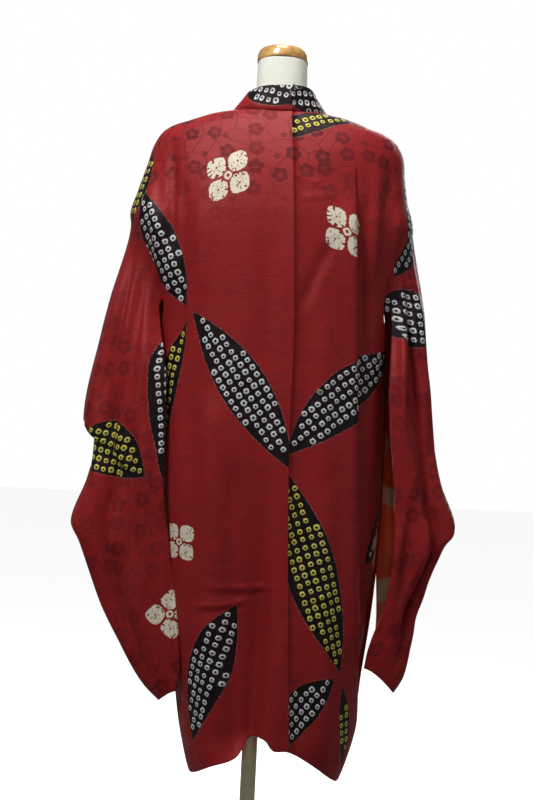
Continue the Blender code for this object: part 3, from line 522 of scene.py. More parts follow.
# Degrees round the oval, from the middle of the back, at which the back ends
# and the front starts, and how far from the middle of the front it ends.
Edge = namedtuple("Edge", "height back_angle front_angle left_collar right_collar")
PANEL_EDGES = (
    Edge(0.375, 76, 102, 0.060, 0.086),
    Edge(0.480, 78, 101, 0.066, 0.090),
    Edge(0.650, 80, 99, 0.076, 0.096),
    Edge(0.900, 82, 98, 0.086, 0.099),
    Edge(1.040, 80, 99, 0.090, 0.097),
    Edge(1.131, 64, 114, 0.092, 0.095),
    Edge(1.190, 64, 114, 0.092, 0.093),
    Edge(1.235, 70, 109, 0.091, 0.091),
    Edge(1.258, 79, 100, 0.090, 0.090),
    Edge(1.268, 90, 90, 0.090, 0.090),
    Edge(1.360, 90, 90, 0.088, 0.088),
    Edge(1.400, 90, 90, 0.085, 0.085),
    Edge(1.430, 90, 90, 0.081, 0.081),
    Edge(1.4455, 90, 90, 0.078, 0.078),
)
Point = namedtuple("Point", "at value")
BACK_SEAM = (
    Point(0.430, 0.0590),
    Point(0.668, 0.0475),
    Point(0.903, 0.0391),
    Point(1.107, 0.0370),
    Point(1.296, 0.0278),
    Point(1.405, 0.0208),
    Point(1.4455, 0.0178),
)
BACK_HEM = (
    Point(-0.095, 0.374),
    Point(-0.060, 0.398),
    Point(-0.025, 0.417),
    Point(-0.006, 0.444),
    Point(0.022, 0.447),
    Point(0.036, 0.431),
    Point(0.059, 0.430),
    Point(0.091, 0.4125),
    Point(0.142, 0.370),
)
HEM = 0.400
FRONT_HEM = 0.402
FRONT_HEM_TURN = 50
HEM_FADE = 1.000
ARMPIT = 1.131
SHOULDER_END = 1.268
NECKLINE = 1.4455
NECKLINE_RISE = 0.0045
NECKLINE_FADE = 0.020
CLOTH = 0.0015
SEAM_GAP = 0.0001
SEAM_PROUD = 0.0050  # the left side is pressed over the right
SEAM_REACH = 0.030
SEAM_DIP = 0.0030
SEAM_STEP = 0.0045
SEAM_BACK = 0.045

# Folds and creases run from one place to another on the back or the front,
# each a soft ridge or, with a negative rise, a valley.
Fold = namedtuple("Fold", "high_x high_z low_x low_z reach rise top near", defaults=(0.080, None))
BACK_FOLDS = (
    Fold(0.009, 0.900, 0.003, 0.380, 0.0125, -0.036, 0.340, 0.064),
    Fold(0.141, 1.330, 0.178, 0.600, 0.015, -0.009),
    Fold(0.118, 1.340, 0.158, 0.560, 0.015, 0.005),
    Fold(-0.190, 1.395, -0.192, 1.230, 0.010, -0.006),
    Fold(-0.172, 1.410, -0.162, 1.180, 0.013, -0.013),
    Fold(-0.148, 1.350, -0.146, 1.000, 0.011, -0.009),
    Fold(0.182, 1.395, 0.180, 1.150, 0.010, -0.006),
    Fold(-0.085, 1.000, -0.066, 0.360, 0.020, 0.007),
    Fold(-0.050, 0.900, -0.036, 0.360, 0.014, -0.006),
    Fold(0.100, 0.860, 0.118, 0.360, 0.020, 0.006),
)
FRONT_FOLDS = (
    Fold(-0.126, 1.120, -0.078, 0.330, 0.011, -0.022),
    Fold(0.130, 1.120, 0.112, 0.330, 0.011, -0.022),
    Fold(-0.152, 1.150, -0.090, 0.330, 0.012, 0.006),
    Fold(0.158, 1.150, 0.134, 0.330, 0.012, 0.006),
)
FOLD_END = 0.080
Crease = namedtuple("Crease", "from_x from_z to_x to_z bow reach rise")
BACK_CREASES = (
    Crease(0.098, 1.245, 0.046, 1.110, 0.004, 0.0100, -0.0040),
    Crease(-0.105, 0.650, -0.010, 0.664, 0.004, 0.0050, 0.0032),  # folded away across
    Crease(-0.106, 0.643, -0.012, 0.657, 0.004, 0.0060, -0.0026),
    Crease(-0.090, 0.684, 0.036, 0.690, 0.006, 0.0055, 0.0029),
    Crease(-0.092, 0.676, 0.030, 0.682, 0.006, 0.0070, -0.0022),
    Crease(0.050, 0.668, 0.120, 0.674, -0.003, 0.0060, 0.0014),
    Crease(-0.010, 1.320, 0.012, 0.720, 0.004, 0.0200, -0.0035),
    Crease(0.052, 1.290, 0.064, 0.560, -0.004, 0.0180, -0.0035),
    Crease(-0.110, 1.200, -0.118, 0.780, 0.006, 0.0160, -0.0035),
    Crease(-0.140, 1.020, -0.116, 0.500, 0.004, 0.0140, 0.0048),
    Crease(0.090, 1.180, 0.104, 0.760, 0.004, 0.0140, 0.0032),
    Crease(-0.206, 1.330, -0.176, 1.170, 0.002, 0.0070, 0.0045),
    Crease(-0.158, 1.385, -0.156, 1.210, 0.003, 0.0060, 0.0042),
    Crease(-0.130, 1.350, -0.128, 1.120, 0.004, 0.0090, -0.0035),
    Crease(0.160, 1.385, 0.166, 1.160, 0.002, 0.0080, 0.0035),
    Crease(0.194, 1.330, 0.190, 1.180, 0.000, 0.0060, -0.0032),
    Crease(0.020, 1.345, 0.075, 1.325, 0.003, 0.0050, 0.0011),
    Crease(0.034, 1.300, 0.098, 1.306, -0.003, 0.0050, 0.0010),
    Crease(-0.060, 0.560, -0.052, 0.430, 0.000, 0.0100, 0.0042),
    Crease(0.042, 0.640, 0.046, 0.436, 0.000, 0.0060, 0.0048),
    Crease(0.078, 0.560, 0.090, 0.430, 0.002, 0.0120, -0.0038),
)
FRONT_CREASES = (
    Crease(-0.112, 1.340, -0.098, 0.900, 0.004, 0.0120, -0.0038),
    Crease(-0.150, 1.360, -0.140, 1.080, 0.003, 0.0100, 0.0035),
    Crease(0.112, 1.340, 0.104, 0.860, -0.004, 0.0120, -0.0038),
    Crease(0.150, 1.360, 0.150, 1.080, -0.003, 0.0100, 0.0035),
    Crease(-0.128, 0.672, -0.078, 0.680, 0.003, 0.0055, 0.0022),
    Crease(0.100, 0.684, 0.150, 0.674, 0.003, 0.0055, 0.0022),
)
CREASE_END = 0.30  # share of a crease over which it dies away at each end

PLEAT_TOP = 1.362
PLEAT_FADE = 0.20
PLEAT_LINE = (  # distance of the right half's turned edge from the middle, by height
    Point(0.430, 0.1725),
    Point(0.670, 0.1625),
    Point(0.987, 0.1440),
    Point(1.144, 0.1347),
    Point(1.350, 0.1247),
)
PLEAT_LIFT = 0.0030  # the turned edge stands proud
PLEAT_DROP = 0.0120  # and the cloth beyond it lies back
PLEAT_LIP = 0.024
PARTING = 0.02  # degrees between its two sides
PARTING_KEPT = 3  # degrees it stays clear of the panel's side
PLEAT_REACH = 0.060
PLEAT_TAKE = 0.014  # cloth hidden in it

ROW_APART = 0.0038  # size of the mesh's quads
ROW_FINE = 160
LEVELS_FINE = 400
EDGE_STEPS = np.array([0.0, 0.0006, 0.0014, 0.0026, 0.0042])  # finer towards a rolled edge
EDGE_ROLL = 0.0034  # width over which a sewn or turned edge rolls in
EDGE_DROPS = {"start": 0.0004, "end": 0.0011, "low": 0.0013}  # and how far, by edge
BACK_COUNTS = (40, 30)  # columns from the seam to the pleat line, and past it
FRONT_COUNT = 40
MERGE = 1e-6  # points closer than this are one
SHORTEST = 1e-7
# Painted shine: how strongly the woven figures' colour shows, faint down the back and painted strong over
# the shoulders.
SHINE_LOW = 0.16
SHINE_FROM = 1.24
SHINE_OVER = 0.17


def reading(table, column, at):
    """A smooth reading of one column of a table, whose first column is rising."""
    keys = np.array([row[0] for row in table])
    values = np.array([getattr(row, column) for row in table])
    order = np.arange(len(keys))
    before, after = np.maximum(order - 1, 0), np.minimum(order + 1, len(keys) - 1)
    slopes = (values[after] - values[before]) / (keys[after] - keys[before])
    at = np.clip(at, keys[0], keys[-1])
    low = np.clip(np.searchsorted(keys, at, side="right") - 1, 0, len(keys) - 2)
    step = keys[low + 1] - keys[low]
    share = (at - keys[low]) / step
    square, cube = share**2, share**3
    return (
        values[low] * (2 * cube - 3 * square + 1)
        + slopes[low] * step * (cube - 2 * square + share)
        + values[low + 1] * (3 * square - 2 * cube)
        + slopes[low + 1] * step * (cube - square)
    )


def unit(vectors):
    return vectors / np.linalg.norm(vectors, axis=-1, keepdims=True)


def lengths_along(points):
    """Distance of each point along a line, from its first."""
    return np.concatenate([[0], np.cumsum(np.linalg.norm(np.diff(points, axis=0), axis=1))])


def read_off(at, lengths, points):
    """The places at some distances along a line."""
    return np.stack([np.interp(at, lengths, column) for column in points.T], 1)


def ease(share):
    share = np.clip(share, 0.0, 1.0)
    return share * share * (3 - 2 * share)


def folded(folds, x, z):
    """How far the folds lift the cloth at each place."""
    total = np.zeros(np.broadcast(x, z).shape)
    for fold in folds:
        share = (fold.high_z - z) / (fold.high_z - fold.low_z)
        line = fold.high_x + (fold.low_x - fold.high_x) * share
        alive = ease((fold.high_z - z) / fold.top) * ease((z - fold.low_z) / FOLD_END)
        reach = np.where(x < line, fold.near or fold.reach, fold.reach)
        total = total + fold.rise * alive * np.exp(-(((x - line) / reach) ** 2))
    return total


def creased(creases, x, z):
    """How far the creases lift it, each a bowed line that dies away at its ends."""
    total = np.zeros(np.broadcast(x, z).shape)
    for crease in creases:
        run, climb = crease.to_x - crease.from_x, crease.to_z - crease.from_z
        length = math.hypot(run, climb)
        share = ((x - crease.from_x) * run + (z - crease.from_z) * climb) / length**2
        aside = ((x - crease.from_x) * climb - (z - crease.from_z) * run) / length
        aside = aside - crease.bow * 4 * share * (1 - share)
        alive = ease(share / CREASE_END) * ease((1 - share) / CREASE_END)
        total = total + crease.rise * alive * np.exp(-((aside / crease.reach) ** 2))
    return total


def pleated(x, level):
    """The step at the right half's turned edge, whose near side lies on the far side."""
    past = x - reading(PLEAT_LINE, "value", level)
    lip = PLEAT_LIFT * np.exp(np.minimum(past, 0) / PLEAT_LIP)
    drop = -PLEAT_DROP * np.exp(-np.maximum(past, 0) / PLEAT_REACH)
    return np.where(past <= MERGE, lip, drop) * pleat_depth(level)


def pressed(x, level):
    """The fold along the middle seam, proud on the left and falling off sharply on the right."""
    past = x - reading(BACK_SEAM, "value", level)
    step = np.exp(-np.maximum(past, 0) / SEAM_STEP)
    dip = SEAM_DIP * (1 - step) * np.exp(-np.maximum(past, 0) / SEAM_BACK)
    return np.where(past <= MERGE, SEAM_PROUD * np.exp(np.minimum(past, 0) / SEAM_REACH),
                    SEAM_PROUD * step - dip)


def pleat_depth(level):
    return ease((PLEAT_TOP - level) / PLEAT_FADE)


def hem_height(angle, x):
    corner = np.where(angle < 0, BACK_HEM[0].value, BACK_HEM[-1].value)
    front = corner + (FRONT_HEM - corner) * ease((np.abs(angle) - 90) / FRONT_HEM_TURN)
    return np.where(np.abs(angle) <= 90, reading(BACK_HEM, "value", x), front)


def worn_surface(angle, level, lifted=True):
    """The outside of the worn cloth: degrees from the middle of the back, and row level."""
    angle, level = np.broadcast_arrays(np.asarray(angle, float), np.asarray(level, float))
    side = np.where(angle < 0, -1.0, 1.0)
    half = np.where(
        angle < 0, reading(BODY_OVALS, "left", level), reading(BODY_OVALS, "right", level)
    )
    behind = np.abs(angle) <= 90
    deep = np.where(
        behind, reading(BODY_OVALS, "back", level), reading(BODY_OVALS, "front", level)
    )
    sine = np.abs(np.sin(np.radians(angle))) ** (2 / ROUNDNESS)
    cosine = np.abs(np.cos(np.radians(angle))) ** (2 / ROUNDNESS)
    x = side * half * sine
    y = np.where(behind, -deep, deep) * cosine
    fade = ease((HEM_FADE - level) / (HEM_FADE - HEM))
    rise = NECKLINE_RISE * sine * ease((level - NECKLINE) / NECKLINE_FADE + 1)
    z = level + (hem_height(angle, x) - HEM) * fade + rise
    outward = unit(np.stack([x / half**2, y / deep**2], -1))
    back_lift = folded(BACK_FOLDS, x, z) + creased(BACK_CREASES, x, z)
    back_lift = back_lift + pleated(x, level) + pressed(x, level)
    front_lift = folded(FRONT_FOLDS, x, z) + creased(FRONT_CREASES, x, z)
    lift = np.where(behind, back_lift, front_lift)[..., None] * lifted
    flat = np.stack([x, y], -1) + outward * lift
    return np.concatenate([flat, z[..., None]], -1)


def angle_at(x, level):
    """Degrees at which the back of the oval is x across."""
    half = reading(BODY_OVALS, "left" if x < 0 else "right", level)
    share = min(abs(x) / half, 1.0) ** (ROUNDNESS / 2)
    return math.copysign(math.degrees(math.asin(share)), x)


def stations(length, count, fine_start, fine_end):
    """Evenly spaced places along a length, closer at an end that rolls in."""
    steps = EDGE_STEPS * min(1.0, length / (4 * EDGE_STEPS[-1]))
    first = steps[-1] if fine_start else 0.0
    last = length - (steps[-1] if fine_end else 0.0)
    even = np.linspace(first, last, count + 1)
    low = steps[:-1] if fine_start else []
    high = length - steps[-2::-1] if fine_end else []
    return np.concatenate([low, even, high])


def spaced(points, count, trims=(0.0, 0.0), fine=(False, False)):
    """Points along a line, less a length trimmed off each end."""
    lengths = lengths_along(points[:, :3])
    whole = max(lengths[-1] - sum(trims), SHORTEST)
    return read_off(trims[0] + stations(whole, count, *fine), lengths, points)


def worn_row(start, end, level, count, trims=(0.0, 0.0), fine=(False, False)):
    return spaced(worn_surface(np.linspace(start, end, ROW_FINE), level), count, trims, fine)


def measured_row(start, end, level, count, trims=(0.0, 0.0), fine=(False, False)):
    """The same row with each point's place before folding beside it, to measure the cloth by."""
    angles = np.linspace(start, end, ROW_FINE)
    both = [worn_surface(angles, level), worn_surface(angles, level, False)]
    return spaced(np.concatenate(both, 1), count, trims, fine)


def side_name(side):
    return "left" if side < 0 else "right"


def side_angles(side, level):
    if level >= SHOULDER_END:
        return side * 90.0, side * 90.0
    back = float(reading(PANEL_EDGES, "back_angle", level))
    front = float(reading(PANEL_EDGES, "front_angle", level))
    return side * back, side * front


def collar_across(side, level):
    return float(reading(PANEL_EDGES, side_name(side) + "_collar", level))


def collar_angle(side, level):
    return side * (180 - abs(angle_at(side * collar_across(side, level), level)))


def body_levels():
    """Row levels, evenly spaced along the cloth, finer at the hem."""
    skirt = np.arange(HEM + EDGE_STEPS[-1], SHOULDER_END - ROW_APART / 2, ROW_APART)
    fine = np.linspace(SHOULDER_END, NECKLINE, LEVELS_FINE)
    half = (reading(BODY_OVALS, "left", fine) + reading(BODY_OVALS, "right", fine)) / 2
    path = np.concatenate([[0], np.cumsum(np.hypot(np.diff(half), np.diff(fine)))])
    yoke = np.interp(np.linspace(0, path[-1], int(path[-1] / ROW_APART)), path, fine)
    return np.concatenate([HEM + EDGE_STEPS[:-1], skirt, yoke])


def widths(rows):
    steps = np.linalg.norm(np.diff(rows, axis=1), axis=2)
    return np.concatenate([np.zeros((len(rows), 1)), np.cumsum(steps, 1)], 1)


def heights(rows, lowest):
    climbs = np.linalg.norm(np.diff(rows, axis=0), axis=2).mean(1)
    up = lowest + np.concatenate([[0], np.cumsum(climbs)])
    return np.repeat(up[:, None], rows.shape[1], 1)


def climbed(rows, across):
    """Height of each point along the cloth, measured up a line that stays as far across."""
    up = [rows[0, :, 2]]
    for lower, row, below, here in zip(rows[:-1], rows[1:], np.abs(across[:-1]), np.abs(across[1:])):
        order = np.argsort(below)
        under = np.stack([np.interp(here, below[order], lower[order, axis]) for axis in range(3)], 1)
        before = np.interp(here, below[order], up[-1][order])
        up.append(before + np.linalg.norm(row - under, axis=1))
    return np.array(up)


def outwards(rows, flip):
    """Unit normals of a grid on its outer side."""
    normals = np.cross(np.gradient(rows, axis=1), np.gradient(rows, axis=0))
    normals /= np.maximum(np.linalg.norm(normals, axis=2, keepdims=True), 1e-12)
    return -normals if flip else normals


def rolled(rows, flip, *edges):
    """The grid with some of its edges rolled in, as at a seam or a turned hem."""
    across = widths(rows)
    up = np.concatenate(
        [np.zeros((1, rows.shape[1])), np.cumsum(np.linalg.norm(np.diff(rows, axis=0), axis=2), 0)]
    )
    distances = {"start": across, "end": across[:, -1:] - across, "low": up}
    drop = np.zeros(across.shape)
    for edge in edges:
        short = np.clip(1 - distances[edge] / EDGE_ROLL, 0, 1)
        drop = np.maximum(drop, EDGE_DROPS[edge] * (1 - np.sqrt(1 - short**2)))
    return rows - outwards(rows, flip) * drop[..., None]


def grid_quads(rows, columns, start, flip):
    low = (np.arange(rows - 1)[:, None] * columns + np.arange(columns - 1) + start).ravel()
    quads = np.stack([low, low + 1, low + columns + 1, low + columns], 1)
    return quads[:, ::-1] if flip else quads


def cloth_piece(name, grids, flip, finish, inner=None, thickness=CLOTH):
    """A wall of cloth, grown inwards from its outer side; grids that touch are joined."""
    mesh = bpy.data.meshes.new(name)
    quads, start = [], 0
    for grid in grids:
        rows, columns = grid.points.shape[:2]
        quads.append(grid_quads(rows, columns, start, flip))
        start += rows * columns
    points = np.concatenate([grid.points.reshape(-1, 3) for grid in grids])
    mesh.from_pydata(points.tolist(), [], np.concatenate(quads).tolist())
    dye(mesh, grids)
    sewn = bmesh.new()
    sewn.from_mesh(mesh)
    bmesh.ops.remove_doubles(sewn, verts=sewn.verts, dist=MERGE)
    bmesh.ops.dissolve_degenerate(sewn, edges=sewn.edges, dist=MERGE)
    sewn.to_mesh(mesh)
    sewn.free()
    mesh.shade_smooth()
    mesh.materials.append(finish)
    piece = bpy.data.objects.new(name, mesh)
    bpy.context.scene.collection.objects.link(piece)
    wall = piece.modifiers.new("wall", "SOLIDIFY")
    wall.thickness = thickness
    wall.offset = -1
    if inner:
        mesh.materials.append(inner)
        wall.material_offset = 1
    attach(piece, "root")
    return piece


WHITE_LEFT = Leaf(0.0042, 0.8735, -0.1649, 1.1171, 0.0303, 0.0449, WHITE_RINGS)
WHITE_RIGHT = Leaf(-0.0031, 0.8966, 0.2191, 1.0714, 0.0596, 0.0254, WHITE_RINGS)
YELLOW_MIDDLE = Leaf(-0.0068, 0.8732, 0.1046, 0.5573, 0.0339, 0.0535, YELLOW_RINGS)
WHITE_HEM_LEFT = Leaf(-0.1962, 0.4364, -0.0964, 0.6559, 0.0446, 0.0269, WHITE_RINGS)
WHITE_HEM_RIGHT = Leaf(-0.030, 0.425, 0.0890, 0.5463, 0.044, 0.020, WHITE_RINGS)
YELLOW_HEM = Leaf(0.137, 0.400, 0.113, 0.534, 0.014, 0.017, YELLOW_RINGS)
YELLOW_SIDE = Leaf(-0.222, 0.905, -0.178, 1.104, 0.036, 0.009, YELLOW_RINGS)
WHITE_ARMHOLE = Leaf(-0.258, 1.324, -0.180, 1.127, 0.027, 0.042, WHITE_RINGS)
YELLOW_NECK = Leaf(-0.050, 1.390, 0.112, 1.463, 0.036, 0.009, YELLOW_RINGS)
YELLOW_SHOULDER = Leaf(-0.296, 1.284, -0.250, 1.394, 0.024, 0.024, YELLOW_RINGS)
WHITE_SIDE = Leaf(0.1797, 0.7283, 0.2286, 0.8326, 0.0129, 0.0405, WHITE_RINGS)
WHITE_SHOULDER = Leaf(0.236, 1.230, 0.216, 1.410, 0.018, 0.020, WHITE_RINGS)
BACK_LEAVES = {
    -1: (WHITE_LEFT, WHITE_HEM_LEFT, YELLOW_SIDE, WHITE_ARMHOLE, YELLOW_SHOULDER),
    1: (WHITE_RIGHT, YELLOW_MIDDLE, WHITE_HEM_RIGHT, YELLOW_HEM, YELLOW_NECK, WHITE_SIDE,
        WHITE_SHOULDER),
}
BACK_FLOWERS = {
    -1: (Flower(-0.1039, 1.3367, 1.06, 0.22, 1.15), Flower(-0.1842, 0.7530, 0.86, -0.10, 1.0)),
    1: (Flower(0.0835, 1.2533, 1.03, -0.18, 0.89), Flower(0.232, 0.7520, 0.9, 0.3, 1.0)),
}
FRONT_LEAVES = {
    -1: (
        YELLOW_SHOULDER,
        Leaf(-0.110, 0.760, -0.205, 1.010, 0.044, 0.034, WHITE_RINGS),
        Leaf(-0.120, 1.110, -0.215, 1.230, 0.030, 0.040, YELLOW_RINGS),
        Leaf(-0.165, 0.450, -0.105, 0.690, 0.032, 0.034, YELLOW_RINGS),
    ),
    1: (
        WHITE_SHOULDER,
        Leaf(0.112, 0.900, 0.225, 1.100, 0.036, 0.042, YELLOW_RINGS),
        Leaf(0.206, 0.520, 0.124, 0.790, 0.034, 0.044, WHITE_RINGS),
        Leaf(0.120, 1.180, 0.200, 1.330, 0.026, 0.030, WHITE_RINGS),
    ),
}
FRONT_FLOWERS = {
    -1: (Flower(-0.160, 1.330, 1.0, 0.1), Flower(-0.200, 0.700, 1.0, 0.4)),
    1: (Flower(0.196, 1.190, 1.0, 0.2), Flower(0.170, 0.440, 1.0, 0.0)),
}


def body_rows(side, level):
    """One row of a panel's back in two stretches, parted at the pleat, and of its front."""
    seam = angle_at(float(reading(BACK_SEAM, "value", level)), level)
    back_edge, front_edge = side_angles(side, level)
    parting = angle_at(side * float(reading(PLEAT_LINE, "value", level)), level)
    if abs(parting) > abs(back_edge) - PARTING_KEPT:
        parting = side * (abs(back_edge) - PARTING_KEPT)
    above = level >= SHOULDER_END
    near = measured_row(seam, parting, level, BACK_COUNTS[0], (SEAM_GAP, 0), (True, False))
    far = measured_row(
        parting + side * PARTING, back_edge, level, BACK_COUNTS[1], fine=(False, True)
    )
    front = measured_row(
        front_edge, collar_angle(side, level), level, FRONT_COUNT, (0, SEAM_GAP), (True, True)
    )
    return np.concatenate([near, far]), front


def painted_shoulder_shine(v):
    """Painted shine: the woven figures' colour is painted strongest over the shoulders, where the silk
    turns to the light, and fades down the back.
    """
    return SHINE_LOW + (1 - SHINE_LOW) * ease((v - SHINE_FROM) / SHINE_OVER)


def cloth_widths(side, levels, backs, fronts):
    """Places across the cloth, from the seam behind and matched at the shoulder in front."""
    across = widths(backs) * side
    hidden = PLEAT_TAKE * pleat_depth(levels)[:, None] if side > 0 else 0.0
    across[:, BACK_COUNTS[0] + len(EDGE_STEPS) :] += hidden
    before = widths(fronts)
    whole = before[:, -1:]
    start = np.array([collar_across(side, level) for level in levels])[:, None] * side
    met = ease((levels - ARMPIT) / (SHOULDER_END - ARMPIT))[:, None]
    edge = (start + side * whole) * (1 - met) + across[:, -1:] * met
    share = before / np.maximum(whole, 1e-6)
    return across, edge + (start - edge) * share


levels = body_levels()
for side in (-1, 1):
    made = [body_rows(side, level) for level in levels]
    backs = np.array([back for back, front in made])
    fronts = np.array([front for back, front in made])
    flat_backs, flat_fronts = backs[..., 3:], fronts[..., 3:]
    back_u, front_u = cloth_widths(side, levels, flat_backs, flat_fronts)
    back_v, front_v = climbed(flat_backs, back_u), climbed(flat_fronts, front_u)
    front_v += back_v[:, -1:] - front_v[:, :1]
    backs = rolled(backs[..., :3], side < 0, "low", "start")
    fronts = rolled(fronts[..., :3], side < 0, "low", "end")
    panel = cloth_piece(
        "panel_" + side_name(side),
        [
            Grid(backs, back_u, back_v, BACK_LEAVES[side], BACK_FLOWERS[side],
                 painted_shoulder_shine(back_v)),
            Grid(fronts, front_u, front_v, FRONT_LEAVES[side], FRONT_FLOWERS[side],
                 painted_shoulder_shine(front_v)),
        ],
        side < 0,
        silk_finish,
        lining_finish,
    )
    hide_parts("body_" + side_name(side))


# ----------------------------------------------------------------- The gussets
# A long narrow wedge of the same silk is sewn between back and front on each
# side, from the hem to just below the armpit.

GUSSET_TOP = 1.040
GUSSET_TUCK = 0.8  # degrees of each edge turned under the body panels
GUSSET_SINK = 0.0020
GUSSET_COUNT = 12

for side in (-1, 1):
    kept = levels[levels <= GUSSET_TOP]
    turned = side * GUSSET_TUCK
    spans = [side_angles(side, level) for level in kept]
    rows = np.array([
        worn_row(back - turned, front + turned, level, GUSSET_COUNT)
        for (back, front), level in zip(spans, kept)
    ])
    rows = rows - outwards(rows, side < 0) * GUSSET_SINK
    wedge = cloth_piece(
        "wedge_" + side_name(side),
        [Grid(rolled(rows, side < 0, "low"), widths(rows), heights(rows, HEM))],
        side < 0,
        silk_finish,
        lining_finish,
    )
    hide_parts("gusset_" + side_name(side))


# ----------------------------------------------------------------- The sleeves
# Each sleeve is one length of silk folded over its top edge and hung from the
# armhole: a bag open at the body below the armpit and at the cuff, sewn shut
# under the cuff and along the bottom. Empty, it falls in long folds.

Slice = namedtuple("Slice", "along out_x out_z out_y in_z back_x back_y front_x front_y mouth")
LEFT_SLEEVE = (
    Slice(0.00, 0.2385, 1.2660, 0.000, 1.125, 0.169, -0.074, 0.166, 0.060, 0.000),
    Slice(0.16, 0.2560, 1.1750, -0.003, 1.040, 0.163, -0.092, 0.166, 0.074, 0.000),
    Slice(0.33, 0.2780, 1.0700, -0.006, 0.940, 0.160, -0.098, 0.180, 0.080, 0.000),
    Slice(0.49, 0.2985, 0.9350, -0.010, 0.840, 0.157, -0.100, 0.186, 0.078, 0.000),
    Slice(0.51, 0.2760, 0.9150, -0.010, 0.825, 0.156, -0.100, 0.185, 0.078, 0.012),
    Slice(0.60, 0.2850, 0.8430, -0.012, 0.780, 0.149, -0.100, 0.181, 0.076, 0.036),
    Slice(0.68, 0.3083, 0.7717, -0.016, 0.730, 0.141, -0.100, 0.175, 0.068, 0.040),
    Slice(0.73, 0.2934, 0.7364, -0.020, 0.700, 0.136, -0.100, 0.171, 0.060, 0.032),
    Slice(0.84, 0.2575, 0.6470, -0.034, 0.628, 0.125, -0.100, 0.162, 0.020, 0.000),
    Slice(0.90, 0.2250, 0.5870, -0.046, 0.587, 0.120, -0.099, 0.155, -0.022, 0.000),
    Slice(0.96, 0.1840, 0.5220, -0.060, 0.545, 0.117, -0.096, 0.138, -0.062, 0.000),
    Slice(1.00, 0.1505, 0.4913, -0.070, 0.510, 0.121, -0.092, 0.123, -0.083, 0.000),
)
RIGHT_SLEEVE = (
    Slice(0.00, 0.2285, 1.2660, 0.000, 1.125, 0.186, -0.071, 0.172, 0.060, 0.000),
    Slice(0.16, 0.2485, 1.1600, -0.003, 1.040, 0.193, -0.085, 0.175, 0.074, 0.000),
    Slice(0.33, 0.2606, 1.0582, -0.006, 0.940, 0.200, -0.089, 0.190, 0.080, 0.000),
    Slice(0.49, 0.2768, 0.9280, -0.010, 0.840, 0.212, -0.090, 0.198, 0.078, 0.000),
    Slice(0.51, 0.2790, 0.9100, -0.010, 0.825, 0.212, -0.090, 0.198, 0.078, 0.012),
    Slice(0.60, 0.2915, 0.8550, -0.012, 0.780, 0.214, -0.090, 0.198, 0.076, 0.036),
    Slice(0.68, 0.3163, 0.7892, -0.014, 0.730, 0.213, -0.088, 0.198, 0.070, 0.040),
    Slice(0.73, 0.2990, 0.7600, -0.016, 0.700, 0.211, -0.086, 0.198, 0.064, 0.032),
    Slice(0.84, 0.2600, 0.6550, -0.026, 0.645, 0.201, -0.082, 0.199, 0.030, 0.000),
    Slice(0.90, 0.2555, 0.6050, -0.034, 0.615, 0.190, -0.080, 0.197, -0.006, 0.000),
    Slice(0.96, 0.2450, 0.5450, -0.042, 0.585, 0.181, -0.078, 0.191, -0.044, 0.000),
    Slice(1.00, 0.2281, 0.5180, -0.052, 0.558, 0.177, -0.074, 0.179, -0.065, 0.000),
)
CUFF_TOP = 0.49  # shares of the way down between which the cuff is open
CUFF_FOOT = 0.84
ARMHOLE_GAP = 0.0010
SLEEVE_BLEND = 0.22
SLEEVE_LEAD = 0.060
SLEEVE_ROUNDNESS = 2.1
SLEEVE_RISE = 1.5
MOUTH_TAPER = 4
SLEEVE_DEPTH = 1.6
SLEEVE_FOLDS_START = 0.25
SLEEVE_FOLDS_END = 0.16
SleeveFold = namedtuple("SleeveFold", "high_share low_share reach rise")
SLEEVE_FOLDS = (
    SleeveFold(0.10, 0.16, 0.050, 0.006),
    SleeveFold(0.20, 0.27, 0.035, -0.014),
    SleeveFold(0.33, 0.38, 0.040, 0.006),
    SleeveFold(0.62, 0.60, 0.035, -0.012),
    SleeveFold(0.72, 0.72, 0.040, 0.006),
    SleeveFold(0.83, 0.80, 0.035, -0.014),
)
